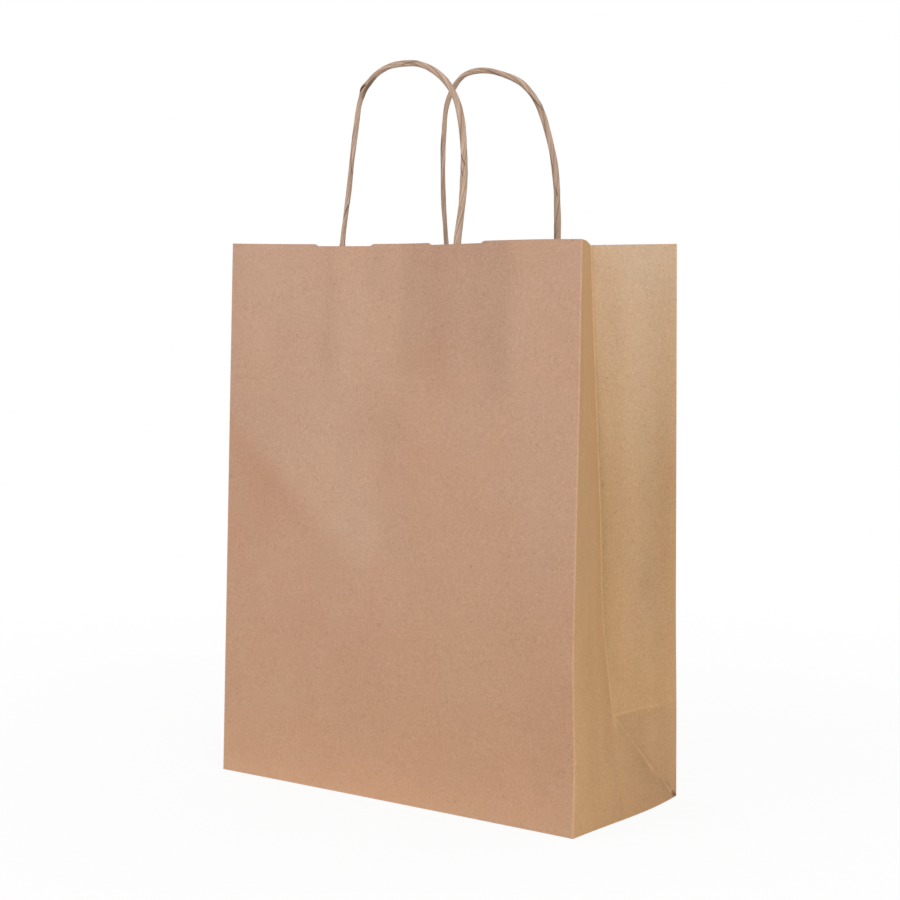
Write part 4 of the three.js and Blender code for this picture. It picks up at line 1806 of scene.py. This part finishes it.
@dataclass
class HandlePatch:
    """A paper strip, folded in two over a handle's legs and glued inside its panel."""

    name: str
    node: str
    plane: PanelPlane
    finish: PaperFinish
    legs: tuple[float, float]
    glue_line: float = 0.1
    leaf_gap: float = 0.03
    ridge: float = 2.05
    ridge_flat: float = 1.9
    ridge_foot: float = 4.3
    buckle: float = 0.1
    step: float = 1.3

    def build(self) -> bpy.types.Object:
        """Make both leaves of the strip.

        Returns:
            The patch's object, dressed and riding on the body.
        """
        shape = self.plane.shape
        across = sum(self.legs) / 2 - shape.patch_length / 2 + graded(shape.patch_length, self.step)
        rise = graded(shape.patch_height, self.step) - shape.patch_bottom
        x, rise = np.meshgrid(across, rise)
        relief = shape.panel_relief(self.plane.side, x, shape.length + rise)
        over = sum(self._over_leg(x, rise, leg) for leg in self.legs)
        buckled = self.buckle * waves(x, rise, len(self.name), 60.0, 12.0) * smoothstep(over, 0.0, 0.3)
        near = 2 * shape.paper + self.glue_line
        top = near + shape.paper + self.leaf_gap + over * self.ridge + np.maximum(buckled, 0.0)
        fold = fade(rise + shape.patch_bottom, 0.2, 1.4)
        quilt = Quilt()
        for inside in (top, near):
            leaf = self.plane.point(x, rise, inside - relief)
            # The patch inside the bag takes part of the yellow colour as painted shade.
            quilt.add(leaf, self.plane.side is Side.FRONT, tone=0.35, fold=fold)
        patch = quilt.mesh(self.name, shape.paper)
        patch.data.materials.append(self.finish.material())
        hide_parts(self.node)
        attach(patch, BODY)
        log.info("%s: %d faces", self.name, len(patch.data.polygons))
        return patch

    def _over_leg(self, x: Array, rise: Array, leg: float) -> Array:
        """How much of the ridge's height there is over one leg."""
        end = smoothstep(rise + self.plane.shape.leg_length, -2.2, 1.2)
        return fade(np.abs(x - leg), self.ridge_flat, self.ridge_foot) * end


@dataclass(frozen=True)
class Lamp:
    """A large soft lamp: its place and the width of its square face in metres, and its watts."""

    name: str
    place: tuple[float, float, float]
    size: float
    power: float


@dataclass
class Studio:
    """The plain floor, the soft light and the camera of the photograph."""

    azimuth: float = 36.877
    elevation: float = 4.993
    distance: float = 1123.4
    aim_across: float = 3.5
    aim_height: float = 188.8
    focal_pixels: float = 2013.5
    frame_pixels: float = 900.0
    sensor: float = 36.0
    floor_reach: float = 6.0
    floor_drop: float = 0.0002
    surroundings: float = 0.55
    near_white: float = 0.91
    shadow_full: float = 0.2
    shadow_gone: float = 0.75
    lamp_aim: float = 0.17
    lamps: tuple[Lamp, ...] = (
        Lamp("key_light", (-1.1, -1.9, 1.5), 1.6, 17.0),
        Lamp("side_light", (2.2, -1.0, 1.0), 1.4, 20.0),
        Lamp("top_light", (0.2, 0.5, 2.4), 1.8, 12.0),
    )

    def build(self) -> None:
        """Set up everything round the object."""
        self._camera()
        self._floor()
        self._world()
        for lamp in self.lamps:
            self._lamp(lamp)
        bpy.context.scene.view_settings.view_transform = "Standard"

    def _camera(self) -> None:
        """Add the camera at the photograph's place."""
        azimuth, elevation = math.radians(self.azimuth), math.radians(self.elevation)
        level = math.cos(elevation)
        back = Vector((math.sin(azimuth) * level, -math.cos(azimuth) * level, math.sin(elevation)))
        right = Vector((math.cos(azimuth), math.sin(azimuth), 0.0))
        target = right * self.aim_across + Vector((0.0, 0.0, self.aim_height))
        lens = bpy.data.cameras.new("photo_camera")
        lens.sensor_width = self.sensor
        lens.lens = self.focal_pixels / self.frame_pixels * self.sensor
        camera = bpy.data.objects.new("photo_camera", lens)
        camera.location = (target + back * self.distance) * MM
        camera.rotation_euler = back.to_track_quat("Z", "Y").to_euler()
        bpy.context.scene.collection.objects.link(camera)
        bpy.context.scene.camera = camera

    def _floor(self) -> None:
        """Add a white floor that keeps the shadow."""
        data = bpy.data.meshes.new("floor")
        reach, low = self.floor_reach, -self.floor_drop
        corners = [(-reach, -reach, low), (reach, -reach, low), (reach, reach, low), (-reach, reach, low)]
        data.from_pydata(corners, [], [(0, 1, 2, 3)])
        floor = bpy.data.objects.new("floor", data)
        bpy.context.scene.collection.objects.link(floor)
        bench = Bench.for_material("floor_white")
        place = bench.node("TexCoord").outputs["Object"]
        away = Signal(bench, bench.vector("LENGTH", place))
        far = away.ramp(self.shadow_full, self.shadow_gone)
        plain = self.near_white + far * (1.0 - self.near_white)
        glow = bench.node("Emission", None, (1.0, 1.0, 1.0), 1.0).outputs[0]
        matt = bench.node("BsdfDiffuse", None, (0.9, 0.9, 0.9)).outputs[0]
        shared = bench.node("MixShader", None, self._seen(bench) * plain, matt, glow)
        data.materials.append(bench.finish(shared))

    @staticmethod
    def _seen(bench: Bench) -> Signal:
        """Whether a ray sees the surface itself and not its light.

        Args:
            bench: The bench of the material.

        Returns:
            1 for the camera, for reflections and for what shows through glass, otherwise 0.
        """
        path = bench.node("LightPath").outputs
        rays = [Signal(bench, path[f"Is {kind} Ray"]) for kind in ("Camera", "Glossy", "Transmission")]
        return (rays[0] + rays[1] + rays[2]).ramp(0.0, 1.0)

    def _world(self) -> None:
        """Make the surroundings white to look at and a soft grey light."""
        world = bpy.data.worlds.new("studio")
        bpy.context.scene.world = world
        world.use_nodes = True
        world.node_tree.nodes.clear()
        bench = Bench(world.node_tree, "Shader")
        strength = self.surroundings + self._seen(bench) * (1.0 - self.surroundings)
        light = bench.node("Background", None, (1.0, 1.0, 1.0), strength).outputs[0]
        bench.node("OutputWorld", None, light)

    def _lamp(self, lamp: Lamp) -> None:
        """Add one lamp that faces the middle of the bag.

        Args:
            lamp: The lamp's place, size and power.
        """
        data = bpy.data.lights.new(lamp.name, "AREA")
        data.size = lamp.size
        data.energy = lamp.power
        added = bpy.data.objects.new(lamp.name, data)
        added.location = lamp.place
        aim = Vector((0.0, 0.0, self.lamp_aim)) - Vector(lamp.place)
        added.rotation_euler = aim.to_track_quat("-Z", "Y").to_euler()
        bpy.context.scene.collection.objects.link(added)


# Where the folds and the broad shadows of the two cords lie.
FRONT_FOLDS = (
    CordFold(-36.3, 16.0, 5.0, 0.3, -0.8, 0.9),
    CordFold(-34.0, 44.0, 7.0, -0.9, 0.3, 0.7),
    CordFold(-24.5, 82.1, 3.4, 0.72, 0.1, 1.8, 0.58),
    CordFold(6.5, 94.3, 6.0, -0.6, 0.85, 0.7),
    CordFold(43.0, 43.0, 4.5, -0.9, 0.9, 0.85),
    CordFold(43.2, 35.5, 2.5, -0.5, 0.5, 0.75),
    CordFold(42.4, 25.0, 8.0, 0.5, -0.75, 0.4),
    CordFold(41.6, 12.0, 7.0, 0.6, -0.7, 0.4),
)
FRONT_SHADOWS = (
    CordFold(-22.4, 84.4, 8.5, -0.7, -0.75, 0.95),
    CordFold(41.5, 58.0, 9.0, -0.6, -0.2, 0.3),
)
BACK_FOLDS = (
    CordFold(-35.2, 60.0, 8.0, -0.3, 0.7, 0.5),
    CordFold(2.5, 97.0, 6.0, 0.3, -0.6, 0.6),
    CordFold(30.0, 80.0, 7.0, -0.5, 0.9, 0.9),
    CordFold(41.0, 46.0, 8.0, -0.7, 0.1, 0.45),
    CordFold(43.0, 30.0, 3.5, 0.0, 0.7, 0.6),
    CordFold(43.7, 9.0, 8.0, -0.6, 0.0, 0.5),
)
BACK_SHADOWS = (
    CordFold(30.5, 79.0, 8.0, -0.5, 0.1, 0.5),
    CordFold(-35.3, 50.0, 12.0, 0.5, 0.5, 0.3),
)


def sheet_shape() -> FoldedSheet:
    """Take the sheet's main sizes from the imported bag.

    Returns:
        The shape of the folded sheet.
    """
    low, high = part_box("paper_bag")
    width, depth, height = ((high[i] - low[i]) / MM for i in range(3))
    return FoldedSheet(width=width, depth=depth, height=height)


def main() -> None:
    """Build the bag, its handles and patches, and the studio round them."""
    logging.basicConfig(level=logging.INFO, format="%(name)s: %(message)s")
    shape = sheet_shape()
    bag_paper = PaperFinish(
        "kraft_paper",
        face=linear(192, 154, 131),
        warm=linear(190, 149, 119),
        # Painted shade: a darker, yellower copy of the paper.
        shaded_yellow=linear(188, 147, 103),
        # Painted light: a paler copy of the paper.
        pale=linear(209, 178, 147),
    )
    patch_paper = PaperFinish(
        "patch_kraft",
        face=linear(198, 162, 130),
        warm=linear(194, 156, 120),
        # Painted shade for the patch inside the bag.
        shaded_yellow=linear(190, 151, 112),
        pale=linear(209, 178, 147),
    )
    cord_paper = CordFinish(
        "cord_kraft",
        face=linear(197, 170, 149),
        dull=linear(172, 143, 123),
        # Painted shadow on the cord's inner side and painted shade in its fold lines.
        deep=linear(112, 90, 66),
        groove=linear(74, 50, 36),
    )
    PaperBag(shape, bag_paper).build()
    sides = (
        (Side.FRONT, FRONT_LOOP, FRONT_FOLDS, FRONT_SHADOWS, shape.front_legs),
        (Side.BACK, BACK_LOOP, BACK_FOLDS, BACK_SHADOWS, shape.back_legs),
    )
    for side, loop, folds, shadows, legs in sides:
        word = side.name.lower()
        plane = PanelPlane(shape, side)
        TwistedHandle(f"{word}_cord", f"{word}_handle", plane, cord_paper, loop, folds, shadows).build()
        HandlePatch(f"{word}_patch", f"{word}_handle_patch", plane, patch_paper, legs).build()
    Studio().build()


if __name__ == "__main__":
    main()
